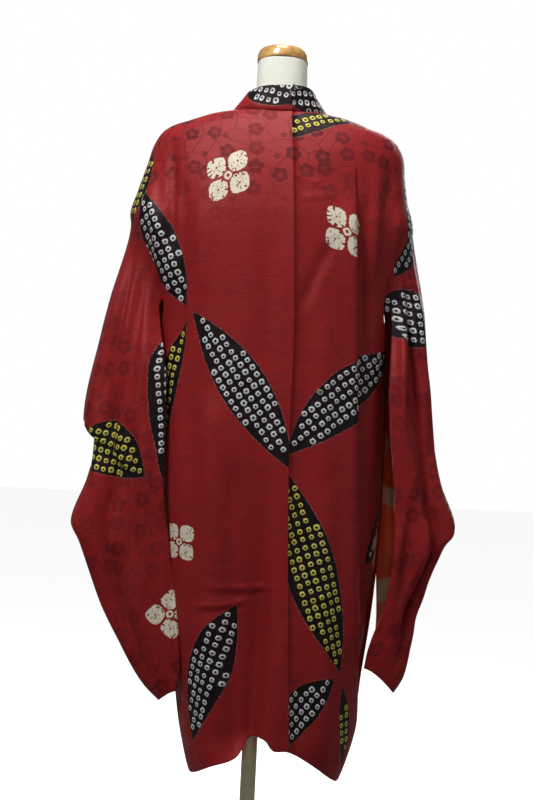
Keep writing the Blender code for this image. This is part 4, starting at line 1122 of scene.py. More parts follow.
# Creases lie at distances from the middle and at heights, on either half.
SLEEVE_CREASES = {
    (-1, "back"): (
        Crease(0.224, 1.200, 0.272, 0.930, 0.000, 0.0070, -0.0080),  # its turned edge
        Crease(0.211, 1.200, 0.257, 0.930, 0.000, 0.0080, 0.0060),
        Crease(0.226, 1.215, 0.176, 1.130, 0.010, 0.0060, 0.0051),  # pulled from the armhole
        Crease(0.232, 1.195, 0.180, 1.105, 0.010, 0.0060, -0.0051),
        Crease(0.214, 1.200, 0.250, 0.930, 0.004, 0.0090, 0.0058),
        Crease(0.204, 1.190, 0.222, 0.960, 0.002, 0.0080, -0.0058),
        Crease(0.190, 0.980, 0.170, 0.600, -0.004, 0.0090, 0.0075),
        Crease(0.214, 0.960, 0.206, 0.640, 0.004, 0.0100, -0.0068),
        Crease(0.268, 0.980, 0.262, 0.740, -0.004, 0.0100, 0.0051),
        Crease(0.236, 0.900, 0.240, 0.660, 0.004, 0.0080, 0.0044),
        Crease(0.280, 0.900, 0.230, 0.640, -0.006, 0.0080, -0.0037),
        Crease(0.150, 0.860, 0.136, 0.600, 0.002, 0.0070, -0.0051),
    ),
    (-1, "front"): (
        Crease(0.226, 1.200, 0.220, 0.900, 0.006, 0.0090, 0.0051),
        Crease(0.246, 1.100, 0.250, 0.760, -0.004, 0.0100, -0.0058),
        Crease(0.200, 1.060, 0.196, 0.720, 0.004, 0.0080, -0.0051),
        Crease(0.210, 0.900, 0.200, 0.620, 0.004, 0.0090, 0.0058),
    ),
    (1, "back"): (
        Crease(0.222, 1.220, 0.200, 1.120, 0.006, 0.0060, 0.0048),
        Crease(0.230, 1.180, 0.236, 0.900, 0.004, 0.0080, -0.0058),
        Crease(0.216, 1.120, 0.224, 0.880, 0.002, 0.0070, 0.0051),
        Crease(0.252, 1.060, 0.264, 0.800, 0.003, 0.0090, 0.0054),
        Crease(0.246, 0.860, 0.238, 0.620, 0.004, 0.0090, -0.0061),
        Crease(0.268, 0.840, 0.250, 0.620, -0.004, 0.0080, 0.0051),
        Crease(0.228, 0.820, 0.214, 0.600, 0.002, 0.0080, 0.0051),
    ),
    (1, "front"): (
        Crease(0.216, 1.200, 0.224, 0.900, -0.004, 0.0090, 0.0051),
        Crease(0.236, 1.080, 0.250, 0.760, 0.004, 0.0100, -0.0058),
        Crease(0.214, 1.000, 0.214, 0.700, 0.004, 0.0080, -0.0044),
        Crease(0.230, 0.860, 0.220, 0.600, 0.002, 0.0090, 0.0058),
    ),
}
SLEEVE_LEAVES = {
    (-1, "back"): (
        Leaf(0.0051, 0.8776, -0.1746, 0.8484, 0.0157, 0.0726, YELLOW_RINGS),
        Leaf(-0.204, 0.846, -0.152, 1.104, 0.024, 0.0255, WHITE_RINGS),
    ),
    (-1, "front"): (
        Leaf(-0.020, 0.930, -0.160, 0.760, 0.040, 0.036, YELLOW_RINGS),
        Leaf(-0.060, 1.020, -0.150, 1.160, 0.030, 0.036, WHITE_RINGS),
    ),
    (1, "back"): (
        Leaf(0.092, 1.190, -0.006, 1.300, 0.024, 0.060, WHITE_RINGS),
        Leaf(0.1445, 1.1325, 0.0027, 1.1159, 0.0481, 0.0461, WHITE_RINGS),
        Leaf(0.012, 0.785, 0.036, 0.935, 0.030, 0.012, YELLOW_RINGS),
    ),
    (1, "front"): (
        Leaf(0.020, 0.796, 0.030, 0.930, 0.030, 0.036, YELLOW_RINGS),
        Leaf(0.130, 1.000, 0.060, 1.160, 0.032, 0.034, WHITE_RINGS),
    ),
}
SLEEVE_FLOWERS = {
    (-1, "back"): (Flower(-0.2335, 0.632, 0.95, 0.70),),
    (-1, "front"): (Flower(-0.100, 0.680, 1.0, 0.3),),
    (1, "back"): (),
    (1, "front"): (Flower(0.100, 0.700, 1.0, 0.2),),
}

CREASE_SIDE = 0.15  # shares over which a sleeve's creases fade, at its outer line,
CREASE_TOP = 0.05  # its top
CREASE_FOOT = 0.06  # and its bottom
# Painted shine of the woven figures' colour on the sleeves.
SLEEVE_SHINE = 0.6
SLEEVE_LINE_TOP = 0.2385
SLEEVE_LINE_SLOPE = 0.14
SLEEVE_COUNT = 46  # columns of each half
SLEEVE_FINE = 160
STRAIGHT_COLUMNS = 14  # columns beside the fold over its top that hang straight down
SLEEVE_ROWS = (96, 64, 34)  # above the cuff, along it and below it
ANGLE_STEP = 1.0
LEVEL_STEP = 0.003
BAG_BULGE = 0.002  # how far the bottom's fold hangs below its two sides
FOOT_CLOTH = 0.008


def armhole(side):
    """Edge of the armhole, from the armpit over the shoulder to the armpit, and the ways off it."""
    quarter = np.sin(np.pi / 2 * np.linspace(0, 1, SLEEVE_COUNT + 1))
    heights_up = ARMPIT + (SHOULDER_END - ARMPIT) * quarter
    turned = [side_angles(side, height) for height in heights_up]
    angles = np.array([pair[0] for pair in turned] + [pair[1] for pair in turned[-2::-1]])
    places = np.concatenate([heights_up, heights_up[-2::-1]])
    points = worn_surface(angles, places)
    turning = worn_surface(angles + ANGLE_STEP, places) - worn_surface(angles - ANGLE_STEP, places)
    rising = worn_surface(angles, places + LEVEL_STEP) - worn_surface(angles, places - LEVEL_STEP)
    away = unit(np.cross(unit(np.cross(turning, rising)), np.gradient(points, axis=0)))
    away = np.where((away @ np.array([side, 0, -1.0]))[:, None] < 0, -away, away)
    from_top = np.abs(np.arange(len(points)) - SLEEVE_COUNT) / STRAIGHT_COLUMNS
    away[:, 1] *= ease(from_top)
    points[:, 1] = np.maximum.accumulate(points[:, 1])
    return points, unit(away)


def sleeve_rise(share, along):
    alive = ease(along / SLEEVE_FOLDS_START) * ease((1 - along) / SLEEVE_FOLDS_END)
    total = 0.0
    for fold in SLEEVE_FOLDS:
        line = fold.high_share + (fold.low_share - fold.high_share) * along
        total = total + fold.rise * np.exp(-(((share - line) / fold.reach) ** 2))
    return total * alive


def sleeve_half(side, along, half):
    """Half of a sleeve's slice, evenly spaced from its inner edge to its outer line."""
    table = LEFT_SLEEVE if side < 0 else RIGHT_SLEEVE
    names = ("out_x", "out_y", "out_z", "in_z", half + "_x", half + "_y")
    out_x, out_y, out_z, in_z, in_x, in_y = (reading(table, name, along) for name in names)
    mouth = reading(table, "mouth", along) if CUFF_TOP < along < CUFF_FOOT else 0.0
    turn = -1 if half == "back" else 1
    round_ = np.linspace(0, 1, SLEEVE_FINE)
    sine = np.sin(np.pi / 2 * round_) ** (2 / SLEEVE_ROUNDNESS)
    cosine = np.maximum(np.cos(np.pi / 2 * round_), 0) ** (2 / SLEEVE_ROUNDNESS)
    x = in_x + (out_x - in_x) * sine
    y = out_y + (in_y - out_y) * cosine + turn * mouth / 2 * sine**MOUTH_TAPER
    z = in_z + (out_z - in_z) * sine**SLEEVE_RISE
    outward = np.stack([x - in_x, (y - out_y) * SLEEVE_DEPTH, np.zeros(SLEEVE_FINE)], 1)
    size = np.linalg.norm(outward, axis=1, keepdims=True)
    outward = np.where(size < 1e-9, (0, turn, 0), outward / np.maximum(size, 1e-9))
    share = 0.5 * round_ if half == "back" else 1 - 0.5 * round_
    faded = ease((1 - round_) / CREASE_SIDE) * ease(along / CREASE_TOP)
    faded = faded * ease((1 - along) / CREASE_FOOT)
    rise = sleeve_rise(share, along) + creased(SLEEVE_CREASES[side, half], x, z) * faded
    points = np.stack([x, y, z], 1) + outward * rise[:, None]
    return spaced(points * (side, 1, 1), SLEEVE_COUNT)


def sleeve_alongs():
    spans = ((0, CUFF_TOP), (CUFF_TOP, CUFF_FOOT), (CUFF_FOOT, 1))
    runs = [np.linspace(*span, count, endpoint=False) for span, count in zip(spans, SLEEVE_ROWS)]
    return np.concatenate([*runs, [1.0]])


def sleeve_rows(side):
    """Rows of the back and of the front half, both from the inner edge out."""
    edge, away = armhole(side)
    backs, fronts = [], []
    for along in sleeve_alongs():
        blend = float(ease(along / SLEEVE_BLEND))
        lead = edge + away * (ARMHOLE_GAP + SLEEVE_LEAD * along / SLEEVE_BLEND)
        back, front = (sleeve_half(side, along, half) for half in ("back", "front"))
        backs.append(lead[: SLEEVE_COUNT + 1] * (1 - blend) + back * blend)
        fronts.append(lead[SLEEVE_COUNT:][::-1] * (1 - blend) + front * blend)
    return np.array(backs), np.array(fronts)


def from_outer_line(rows, side):
    """Places on a sleeve's cloth: across from a line down its outer side, and its height."""
    level = rows * (1, 1, 0)
    across = widths(level)
    line = SLEEVE_LINE_TOP + (SHOULDER_END - rows[:, :, 2]) * SLEEVE_LINE_SLOPE
    outermost = np.abs(rows[:, -1:, 0])
    return (across[:, -1:] - across + line - outermost) * side, rows[:, :, 2]


LINING = 0.001
LINING_GAP = 0.0006
LINING_SHARE = 4 / 9  # of each half's width
LINING_TOP = 0.10
LINING_FOOT = 0.93

for side in (-1, 1):
    backs, fronts = sleeve_rows(side)
    halves = []
    for half, rows, flip in (("back", backs, side > 0), ("front", fronts, side < 0)):
        smooth = rolled(rows, flip, "start")
        u, v = from_outer_line(rows, side)
        if half == "front":
            smooth, u, v = smooth[:, ::-1], u[:, ::-1], v[:, ::-1]
        halves.append(
            Grid(smooth, u, v, SLEEVE_LEAVES[side, half], SLEEVE_FLOWERS[side, half], SLEEVE_SHINE)
        )
    back_foot, front_foot = halves[0].points[-1], halves[1].points[-1][::-1]
    middle = (back_foot + front_foot) / 2 - (0, 0, BAG_BULGE)
    foot_u = np.repeat(halves[0].u[-1:], 3, 0)
    foot_v = halves[0].v[-1:] - np.array([[0.0], [FOOT_CLOTH / 2], [FOOT_CLOTH]])
    foot = Grid(np.stack([back_foot, middle, front_foot]), foot_u, foot_v)
    bag = cloth_piece(
        "sleeve_bag_" + side_name(side), [*halves, foot], side > 0, silk_finish, lining_finish
    )
    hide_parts("sleeve_" + side_name(side))

    strip = round(SLEEVE_COUNT * LINING_SHARE) + 1
    kept = (sleeve_alongs() > LINING_TOP) & (sleeve_alongs() < LINING_FOOT)
    for half, rows, flip in (("back", backs, side > 0), ("front", fronts, side < 0)):
        inside = rows - outwards(rows, flip) * (CLOTH + LINING_GAP)
        inside = inside[kept][:, :strip]
        facing = cloth_piece(
            "facing_" + half + "_" + side_name(side),
            [Grid(inside, widths(inside), inside[:, :, 2])],
            flip,
            lining_finish,
            thickness=LINING,
        )
        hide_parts("sleeve_lining_" + half + "_" + side_name(side))


# ------------------------------------------------------------------ The collar
# One long band of the silk, folded lengthwise over an interlining, stands
# round the neck and turns to lie flat down both fronts to the hem. At the
# neck it was dyed black, with rings.

COLLAR_THICKNESS = 0.005
COLLAR_GAP = 0.0006
COLLAR_WIDTH = 0.058
COLLAR_STAND = 0.0433
COLLAR_SIDE = 0.036
COLLAR_TURN = 0.110
COLLAR_BACK_LEAN = np.array([0.0, 0.10, 1.0])
COLLAR_SIDE_LEAN = np.array([0.62, 0.0, 0.78])
CHEST_FINE = 160
CHEST_STEP = 0.5  # degrees
CHEST_SPAN = 4  # degrees
COLLAR_FINE = 60
NECK_COUNT = 44  # sections from the middle of the back to the side of the neck
SECTION_COUNT = 14  # columns across each face of the band
SECTION_TURN = 5  # and round each of its edges
SEAM_TURN = 0.008  # width over which it turns up from the neckline
INNER_STEP = 0.002
COLLAR_SWELL = 0.0005
SWELL_WAVES = ((61, 0), (97, 1))  # radians a metre along it, and lag
COLLAR_DENT = 0.0014  # a soft crease along the middle of the stand
COLLAR_DENT_AT = 0.027
COLLAR_DENT_REACH = 0.0030
COLLAR_DENT_ENDS = 0.085
COLLAR_LEAVES = (
    Leaf(-0.128, 0.006, 0.050, 0.0555, 0.045, 0.0135, WHITE_RINGS),
    Leaf(0.125, 0.030, -0.030, 0.058, 0.0125, 0.045, WHITE_RINGS),
    Leaf(0.330, -0.010, 0.560, 0.060, 0.034, 0.030, YELLOW_RINGS),
    Leaf(0.980, 0.062, 0.780, 0.000, 0.030, 0.034, WHITE_RINGS),
    Leaf(-0.280, 0.060, -0.480, -0.004, 0.030, 0.034, WHITE_RINGS),
    Leaf(-0.800, 0.000, -1.010, 0.056, 0.030, 0.036, YELLOW_RINGS),
)


def collar_path(side):
    """Edge of the panel from the middle of the back to the hem: points, ways out and normals."""
    lower = NECKLINE - INNER_STEP / 4
    neck, inner = (
        worn_row(angle_at(float(reading(BACK_SEAM, "value", level)), level), side * 90.0, level,
                 NECK_COUNT, (SEAM_GAP, 0))
        for level in (NECKLINE, lower)
    )
    down = levels[levels < NECKLINE - 1e-4][::-1]
    chest, beside = [], []
    for level in down:
        end = collar_angle(side, level)
        row = worn_surface(np.linspace(end - side * CHEST_SPAN, end, COLLAR_FINE), level)
        lengths = lengths_along(row[::-1])
        at = [SEAM_GAP, SEAM_GAP + min(INNER_STEP, lengths[-1] / 2)]
        found = read_off(at, lengths, row[::-1])
        chest.append(found[0])
        beside.append(found[1])
    points = np.concatenate([neck, chest])
    inward = np.concatenate([inner, beside]) - points
    along = unit(np.gradient(points, axis=0))
    away = unit(along * (inward * along).sum(1, keepdims=True) - inward)
    around = np.concatenate([np.linspace(0, 1, NECK_COUNT + 1), np.ones(len(down))])
    path_levels = np.concatenate([[NECKLINE] * (NECK_COUNT + 1), down])
    return points, away, np.cross(away, along) * side, path_levels, around


def collar_line(start, level, side, around):
    """Points across the middle of the band, from its seam to its folded edge."""
    turned = float(ease(around))
    stand = unit(COLLAR_BACK_LEAN * (1 - turned) + COLLAR_SIDE_LEAN * (-side, 1, 1) * turned)
    tall = COLLAR_STAND + (COLLAR_SIDE - COLLAR_STAND) * turned
    fine = np.linspace(0, 1, COLLAR_FINE)[:, None]
    neck = start + stand * tall * fine
    flat = float(ease((NECKLINE - level) / COLLAR_TURN))
    if flat == 0:
        return neck
    end = collar_angle(side, level)
    chest = worn_surface(end + side * np.arange(1, CHEST_FINE) * CHEST_STEP, level)
    chest = np.concatenate([start[None], chest])
    front = read_off(fine[:, 0] * COLLAR_WIDTH, lengths_along(chest), chest)
    return neck * (1 - flat) + front * flat


def collar_ring(line, normal, along, swell, dent):
    """Closed section of the band round its middle line, and each point's place across it."""
    lengths = lengths_along(line)
    thick = COLLAR_THICKNESS / 2
    turn = np.linspace(0, np.pi / 2, SECTION_TURN, endpoint=False)
    seam_end = thick * (1 - np.cos(turn))
    fold_end = lengths[-1] - thick * (1 - np.cos(turn[::-1]))
    even = np.linspace(thick, lengths[-1] - thick, SECTION_COUNT)
    across = np.concatenate([seam_end, even, fold_end])
    high = np.concatenate([np.sin(turn), np.ones(SECTION_COUNT), np.sin(turn[::-1])]) * thick
    puff = 1 + swell * np.sin(np.pi * np.clip(across / lengths[-1], 0, 1)) / thick
    places = read_off(across, lengths, line)
    faces = unit(np.cross(np.gradient(places, axis=0), along))
    if (faces[SECTION_COUNT] * normal).sum() < 0 and (faces * normal).sum() < 0:
        faces = -faces
    seamed = ease(across / SEAM_TURN)[:, None]
    faces = unit(normal * (1 - seamed) + faces * seamed)
    middle = places + faces * (COLLAR_THICKNESS / 2 - CLOTH)
    sunk = dent * np.exp(-(((across - COLLAR_DENT_AT) / COLLAR_DENT_REACH) ** 2))
    outer = middle + faces * (high * puff - sunk)[:, None]
    inner = middle - faces * high[:, None]
    ring = np.concatenate([outer, inner[-2:0:-1]])
    return ring, np.concatenate([across, 2 * lengths[-1] - across[-2:0:-1]])


halves = []
for side in (-1, 1):
    points, away, normals, path_levels, arounds = collar_path(side)
    starts = points + away * COLLAR_GAP
    lines = [
        collar_line(start, level, side, around)
        for start, level, around in zip(starts, path_levels, arounds)
    ]
    halves.append((np.array(lines), normals))
lines = np.concatenate([halves[0][0][:0:-1], halves[1][0]])
normals = np.concatenate([halves[0][1][:0:-1], halves[1][1]])
alongs = np.gradient(lines.mean(1), axis=0)
lengths = lengths_along(lines[:, 0])
lengths -= lengths[len(halves[0][0]) - 1]
swells = COLLAR_SWELL * sum(np.sin(lengths * rate + lag) for rate, lag in SWELL_WAVES)
dents = COLLAR_DENT * ease(2 - np.abs(lengths) * 2 / COLLAR_DENT_ENDS)
rings = [collar_ring(*found) for found in zip(lines, normals, alongs, swells, dents)]
ring_points = np.array([ring for ring, across in rings])
ring_across = np.array([across for ring, across in rings])
closed = np.concatenate([ring_points, ring_points[:, :1]], 1)
closed_v = np.concatenate([ring_across, ring_across[:, :1]], 1)
closed_u = np.repeat(lengths[:, None], closed.shape[1], 1)
band = cloth_piece(
    "collar_band", [Grid(closed, closed_u, closed_v, COLLAR_LEAVES)], True, silk_finish, thickness=0
)
band.modifiers.clear()
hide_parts("collar")


# ------------------------------------------------------------- The dress form
# A firm padded torso without limbs, covered in pale linen that is sewn down
# the middle and the sides and drawn smooth over the shoulders and the neck.

FormOval = namedtuple("FormOval", "height half front back centre")
FORM_OVALS = (
    FormOval(0.7400, 0.1120, 0.074, 0.082, 0.000),
    FormOval(0.7440, 0.1240, 0.084, 0.094, 0.000),
    FormOval(0.7560, 0.1310, 0.090, 0.101, 0.000),
    FormOval(0.8100, 0.1370, 0.094, 0.106, 0.000),
    FormOval(0.8800, 0.1380, 0.095, 0.107, 0.000),
    FormOval(0.9500, 0.1310, 0.089, 0.100, 0.000),
    FormOval(1.0300, 0.1220, 0.084, 0.090, 0.000),
    FormOval(1.1000, 0.1290, 0.100, 0.089, 0.000),
    FormOval(1.1700, 0.1410, 0.122, 0.094, 0.000),
    FormOval(1.2200, 0.1490, 0.126, 0.098, 0.000),
    FormOval(1.2800, 0.1650, 0.110, 0.100, 0.000),
    FormOval(1.3300, 0.1880, 0.088, 0.096, 0.000),
    FormOval(1.3600, 0.1995, 0.074, 0.090, 0.000),
    FormOval(1.3750, 0.2020, 0.067, 0.085, 0.000),
    FormOval(1.3870, 0.1995, 0.062, 0.080, 0.000),
    FormOval(1.4020, 0.1925, 0.056, 0.073, 0.000),
    FormOval(1.4113, 0.1835, 0.052, 0.068, 0.000),
    FormOval(1.4207, 0.1685, 0.049, 0.063, 0.000),
    FormOval(1.4293, 0.1430, 0.047, 0.058, 0.000),
    FormOval(1.4377, 0.1100, 0.045, 0.053, 0.000),
    FormOval(1.4428, 0.0880, 0.044, 0.050, 0.001),
    FormOval(1.4480, 0.0700, 0.044, 0.047, 0.002),
    FormOval(1.4560, 0.0550, 0.043, 0.044, 0.004),
    FormOval(1.4700, 0.0465, 0.042, 0.042, 0.008),
    FormOval(1.4900, 0.0425, 0.042, 0.042, 0.012),
    FormOval(1.5150, 0.0415, 0.042, 0.042, 0.017),
    FormOval(1.5350, 0.0410, 0.042, 0.042, 0.021),
)
NECK_TILT = math.radians(10)
NECK_START = 1.465
FORM_SIDES = 144
FORM_ROW = 0.006
COVER_SEAM = 0.0009  # depth of the cover's seams
COVER_SEAM_WIDE = 0.0016
NECK_CREASES = (  # (degrees round, height, reach, rise, slope)
    (10, 1.512, 0.0022, 0.0005, 0.010),
    (-25, 1.503, 0.0020, 0.0005, -0.012),
    (35, 1.497, 0.0024, -0.0005, 0.016),
    (-8, 1.490, 0.0026, 0.0005, 0.008),
    (160, 1.505, 0.0024, 0.0005, 0.010),
    (200, 1.496, 0.0024, -0.0005, -0.012),
)
NECK_CREASE_TURN = 40  # degrees round to each side of its middle
LINEN = (0.84, 0.85, 0.75)
LINEN_SHADE = (0.70, 0.71, 0.62)


def linen_cover():
    linen = Finish("pale linen cover")
    place = linen.node("ShaderNodeTexCoord").outputs["Object"]
    warp = linen.noise(linen.stretched(place, (2400, 2400, 260)), 1.0, 2.0)
    weft = linen.noise(linen.stretched(place, (260, 260, 2400)), 1.0, 2.0)
    threads = linen.sum("MULTIPLY", linen.sum("ADD", warp, weft), 0.5)
    stain = linen.noise(place, 22.0, 3.0)
    tone = linen.sum("MULTIPLY_ADD", linen.sum("SUBTRACT", stain, 0.5), 0.6, threads)
    linen.put(linen.shader.inputs["Base Color"], linen.mix(linen.step(tone, 0.3, 0.7), LINEN_SHADE, LINEN))
    linen.put(linen.shader.inputs["Roughness"], linen.sum("MULTIPLY_ADD", stain, 0.2, 0.68))
    linen.put(linen.shader.inputs["Sheen Weight"], 0.12)
    linen.put(linen.shader.inputs["Normal"], linen.bump(threads, 0.0004, 0.6))
    return linen.material


def solid_piece(name, rings, finish):
    """A closed skin over a stack of rings of points."""
    count, sides = rings.shape[:2]
    start = (np.arange(count - 1)[:, None] * sides + np.arange(sides)).ravel()
    after = (np.arange(count - 1)[:, None] * sides + (np.arange(sides) + 1) % sides).ravel()
    faces = np.stack([start, after, after + sides, start + sides], 1).tolist()
    faces.append(list(range(sides))[::-1])
    faces.append(list(range((count - 1) * sides, count * sides)))
    mesh = bpy.data.meshes.new(name)
    mesh.from_pydata(rings.reshape(-1, 3).tolist(), [], faces)
    mesh.shade_smooth()
    mesh.materials.append(finish)
    piece = bpy.data.objects.new(name, mesh)
    bpy.context.scene.collection.objects.link(piece)
    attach(piece, "root")
    return piece


def form_rings():
    tall = np.array([oval.height for oval in FORM_OVALS])
    wide = np.array([oval.half for oval in FORM_OVALS])
    path = np.concatenate([[0], np.cumsum(np.hypot(np.diff(tall), np.diff(wide)))])
    level = np.interp(np.arange(0, path[-1], FORM_ROW), path, tall)
    level = np.concatenate([level, [tall[-1]]])[:, None]
    angle = np.linspace(0, 2 * np.pi, FORM_SIDES, endpoint=False)[None]
    sine, cosine = np.sin(angle), np.cos(angle)
    half, front, back, centre = (
        reading(FORM_OVALS, name, level) for name in ("half", "front", "back", "centre")
    )
    x = half * np.sign(sine) * np.abs(sine) ** (2 / ROUNDNESS)
    deep = np.where(cosine > 0, back, front)
    y = -deep * np.sign(cosine) * np.abs(cosine) ** (2 / ROUNDNESS)
    lean = ease((level - NECK_START) / (FORM_OVALS[-1].height - NECK_START))
    z = level - y * math.tan(NECK_TILT) * lean
    outward = unit(np.stack([x / half**2, y / deep**2, 0 * z], -1))
    seam = np.minimum.reduce([np.abs(x) + 0 * z, np.abs(y) + 0 * z])
    rise = -COVER_SEAM * np.exp(-((seam / COVER_SEAM_WIDE) ** 2)) * (level < NECK_START)
    for turn, tall_, reach, lift, slope in NECK_CREASES:
        off = (np.degrees(angle) - turn + 180) % 360 - 180
        line = z - tall_ - slope * np.radians(off)
        rise = rise + lift * np.exp(-((line / reach) ** 2)) * ease(1 - np.abs(off) / NECK_CREASE_TURN)
    return np.stack([x, y + centre, z], -1) + outward * rise[..., None]


linen_finish = linen_cover()
form_cover = solid_piece("form_cover", form_rings(), linen_finish)
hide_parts("form_torso")


# ---------------------------------------------------------------- The neck cap
# A cap of honey-coloured wood, turned on a lathe and varnished to a high gloss,
# closes the neck. Its narrow foot is painted near black: painted shade for the gap above the neck.

CAP_RADIUS = 0.0425
CAP_HEIGHT = 0.026
CAP_GAP = 0.0005
CAP_PROFILE = (  # shares of the radius and of the height, from the foot up
    (0.000, 0.00), (0.940, 0.00), (0.944, 0.03), (0.944, 0.07), (0.975, 0.075),
    (0.992, 0.10), (1.000, 0.16), (1.000, 0.26), (0.998, 0.38), (0.991, 0.50), (0.978, 0.61),
    (0.958, 0.71), (0.930, 0.80), (0.890, 0.865), (0.830, 0.92), (0.750, 0.952),
    (0.640, 0.975), (0.500, 0.988), (0.340, 0.995), (0.170, 0.999), (0.000, 1.00),
)
TURNED_SIDES = 128
HONEY = (0.680, 0.420, 0.130)
HONEY_DARK = (0.420, 0.190, 0.045)
PAINTED_FOOT_SHADE = (0.010, 0.008, 0.007)  # painted shade: the dark line round its foot, for the shadow in the gap above the neck


def turned_piece(name, profile, finish):
    """A piece turned about Z, from (radius, height) points that start and end on the axis."""
    sides = np.linspace(0, 2 * np.pi, TURNED_SIDES, endpoint=False)
    radii = np.array([radius for radius, height in profile[1:-1]])[:, None]
    tall = np.array([height for radius, height in profile[1:-1]])[:, None]
    rings = np.stack([radii * np.cos(sides), radii * np.sin(sides), tall + 0 * sides], -1)
    count, around = rings.shape[:2]
    points = [*rings.reshape(-1, 3).tolist(), (0, 0, profile[0][1]), (0, 0, profile[-1][1])]
    foot, head = count * around, count * around + 1
    faces = []
    for ring in range(count - 1):
        for i in range(around):
            j = (i + 1) % around
            low, high = ring * around, (ring + 1) * around
            faces.append((low + i, low + j, high + j, high + i))
    top = (count - 1) * around
    for i in range(around):
        j = (i + 1) % around
        faces.append((foot, j, i))
        faces.append((head, top + i, top + j))
    mesh = bpy.data.meshes.new(name)
    mesh.from_pydata(points, [], faces)
    mesh.shade_smooth()
    mesh.materials.append(finish)
    piece = bpy.data.objects.new(name, mesh)
    bpy.context.scene.collection.objects.link(piece)
    return piece


def honey_wood():
    wood = Finish("varnished honey wood")
    place = wood.node("ShaderNodeTexCoord").outputs["Object"]
    grain = wood.noise(wood.stretched(place, (60, 9, 60)), 1.0, 4.0, 0.62)
    pores = wood.noise(wood.stretched(place, (900, 60, 900)), 1.0, 2.0)
    tone = wood.sum("MULTIPLY_ADD", wood.sum("SUBTRACT", pores, 0.5), 0.35, grain)
    colour = wood.mix(wood.step(tone, 0.36, 0.70), HONEY, HONEY_DARK)
    height = parts_of(wood, place)["Z"]
    # Painted shade: the narrow foot is coloured near black for the shadow in the gap above the neck.
    foot = wood.fall(height, CAP_HEIGHT * 0.075, CAP_HEIGHT * 0.085)
    colour = wood.mix(foot, colour, PAINTED_FOOT_SHADE)
    wood.put(wood.shader.inputs["Base Color"], colour)
    wood.put(wood.shader.inputs["Roughness"], wood.sum("MULTIPLY_ADD", pores, 0.16, 0.22))
    wood.put(wood.shader.inputs["Coat Weight"], 1.0)
    wood.put(wood.shader.inputs["Coat Roughness"], 0.06)
    wood.put(wood.shader.inputs["Normal"], wood.bump(pores, 0.0001, 0.4))
    return wood.material


wood_finish = honey_wood()
profile = [(radius * CAP_RADIUS, height * CAP_HEIGHT) for radius, height in CAP_PROFILE]
cap = turned_piece("turned_cap", profile, wood_finish)
neck_top = FORM_OVALS[-1]
cap.location = (0, neck_top.centre, neck_top.height + CAP_GAP)
cap.rotation_euler = (-NECK_TILT, 0, 0)
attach(cap, "root")
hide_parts("neck_cap")


# ------------------------------------------------------------------ The stand
# A pale brass pole rises from the boss of a heavy round plate of the same
# finish and ends at the underside of the form.

BASE_RADIUS = 0.190
BASE_HEIGHT = 0.016
BASE_CROWN = 0.005
BASE_ROUNDING = 0.010
BASE_CHAMFER = 0.002
BOSS_RADIUS = 0.030
BOSS_HEIGHT = 0.012
BOSS_ROUNDING = 0.003
BOSS_FLARE = 0.004
BOSS_SINK = 0.0002
BOSS_BORE = 0.002  # round the pole at the boss's top
BASE_LIP = 0.003
BASE_SIDE = 0.005
POLE_RADIUS = 0.0125
POLE_BEVEL = 0.0006
POLE_RINGS = 24
SEAT_GAP = 0.0003
PALE_BRASS = (0.86, 0.78, 0.54)
DULL_BRASS = (0.66, 0.58, 0.38)


def pale_brass():
    brass = Finish("polished pale brass")
    place = brass.node("ShaderNodeTexCoord").outputs["Object"]
    haze = brass.noise(place, 14.0, 4.0, 0.6)
    scratch = brass.noise(brass.stretched(place, (500, 500, 30)), 1.0, 2.0)
    dull = brass.mix(brass.step(haze, 0.42, 0.72), PALE_BRASS, DULL_BRASS)
    brass.put(brass.shader.inputs["Base Color"], dull)
    brass.put(brass.shader.inputs["Metallic"], 0.4)
    rough = brass.sum("MULTIPLY_ADD", haze, 0.14, 0.10)
    brass.put(brass.shader.inputs["Roughness"], brass.sum("MULTIPLY_ADD", scratch, 0.08, rough))
    brass.put(brass.shader.inputs["Normal"], brass.bump(scratch, 0.00005, 0.3))
    return brass.material


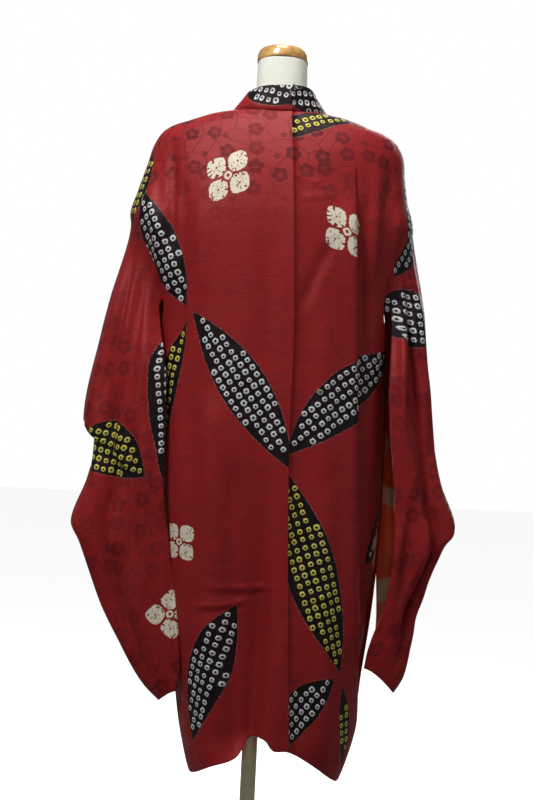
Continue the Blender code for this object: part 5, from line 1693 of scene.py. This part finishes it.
def rounded(corner, start, end, count=7):
    """Points of a curve from start to end, drawn towards a corner."""
    found = []
    for step in range(count + 1):
        share = step / count
        one, two, three = (1 - share) ** 2, 2 * share * (1 - share), share**2
        found.append(tuple(one * a + two * b + three * c for a, b, c in zip(start, corner, end)))
    return found


brass_finish = pale_brass()
top = BASE_HEIGHT + BOSS_HEIGHT
rim = BASE_HEIGHT - BASE_CROWN
plate_edge = BASE_RADIUS - BASE_ROUNDING
profile = [
    (0, 0),
    (BASE_RADIUS - BASE_CHAMFER, 0),
    *rounded((BASE_RADIUS, 0), (BASE_RADIUS - BASE_CHAMFER, 0), (BASE_RADIUS, BASE_CHAMFER), 4)[1:],
    *rounded(
        (BASE_RADIUS, rim + BASE_LIP), (BASE_RADIUS, rim - BASE_SIDE), (plate_edge, rim + BASE_LIP)
    ),
    (BOSS_RADIUS + BOSS_FLARE, BASE_HEIGHT - BOSS_SINK),
    *rounded(
        (BOSS_RADIUS, BASE_HEIGHT),
        (BOSS_RADIUS + BOSS_ROUNDING, BASE_HEIGHT),
        (BOSS_RADIUS, BASE_HEIGHT + BOSS_ROUNDING),
        4,
    ),
    *rounded(
        (BOSS_RADIUS, top),
        (BOSS_RADIUS, top - BOSS_ROUNDING),
        (BOSS_RADIUS - BOSS_ROUNDING, top),
        5,
    ),
    (POLE_RADIUS + BOSS_BORE, top),
    (0, top),
]
plate = turned_piece("base_plate", profile, brass_finish)
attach(plate, "root")
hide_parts("stand_base")

foot = top + SEAT_GAP
head = FORM_OVALS[0].height - SEAT_GAP
shaft = head - foot - 2 * POLE_BEVEL
profile = [(0, foot), (POLE_RADIUS - POLE_BEVEL, foot), (POLE_RADIUS, foot + POLE_BEVEL)]
for ring in range(1, POLE_RINGS + 1):
    profile.append((POLE_RADIUS, foot + POLE_BEVEL + shaft * ring / POLE_RINGS))
profile += [(POLE_RADIUS - POLE_BEVEL, head), (0, head)]
pole = turned_piece("pole_tube", profile, brass_finish)
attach(pole, "root")
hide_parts("stand_pole")
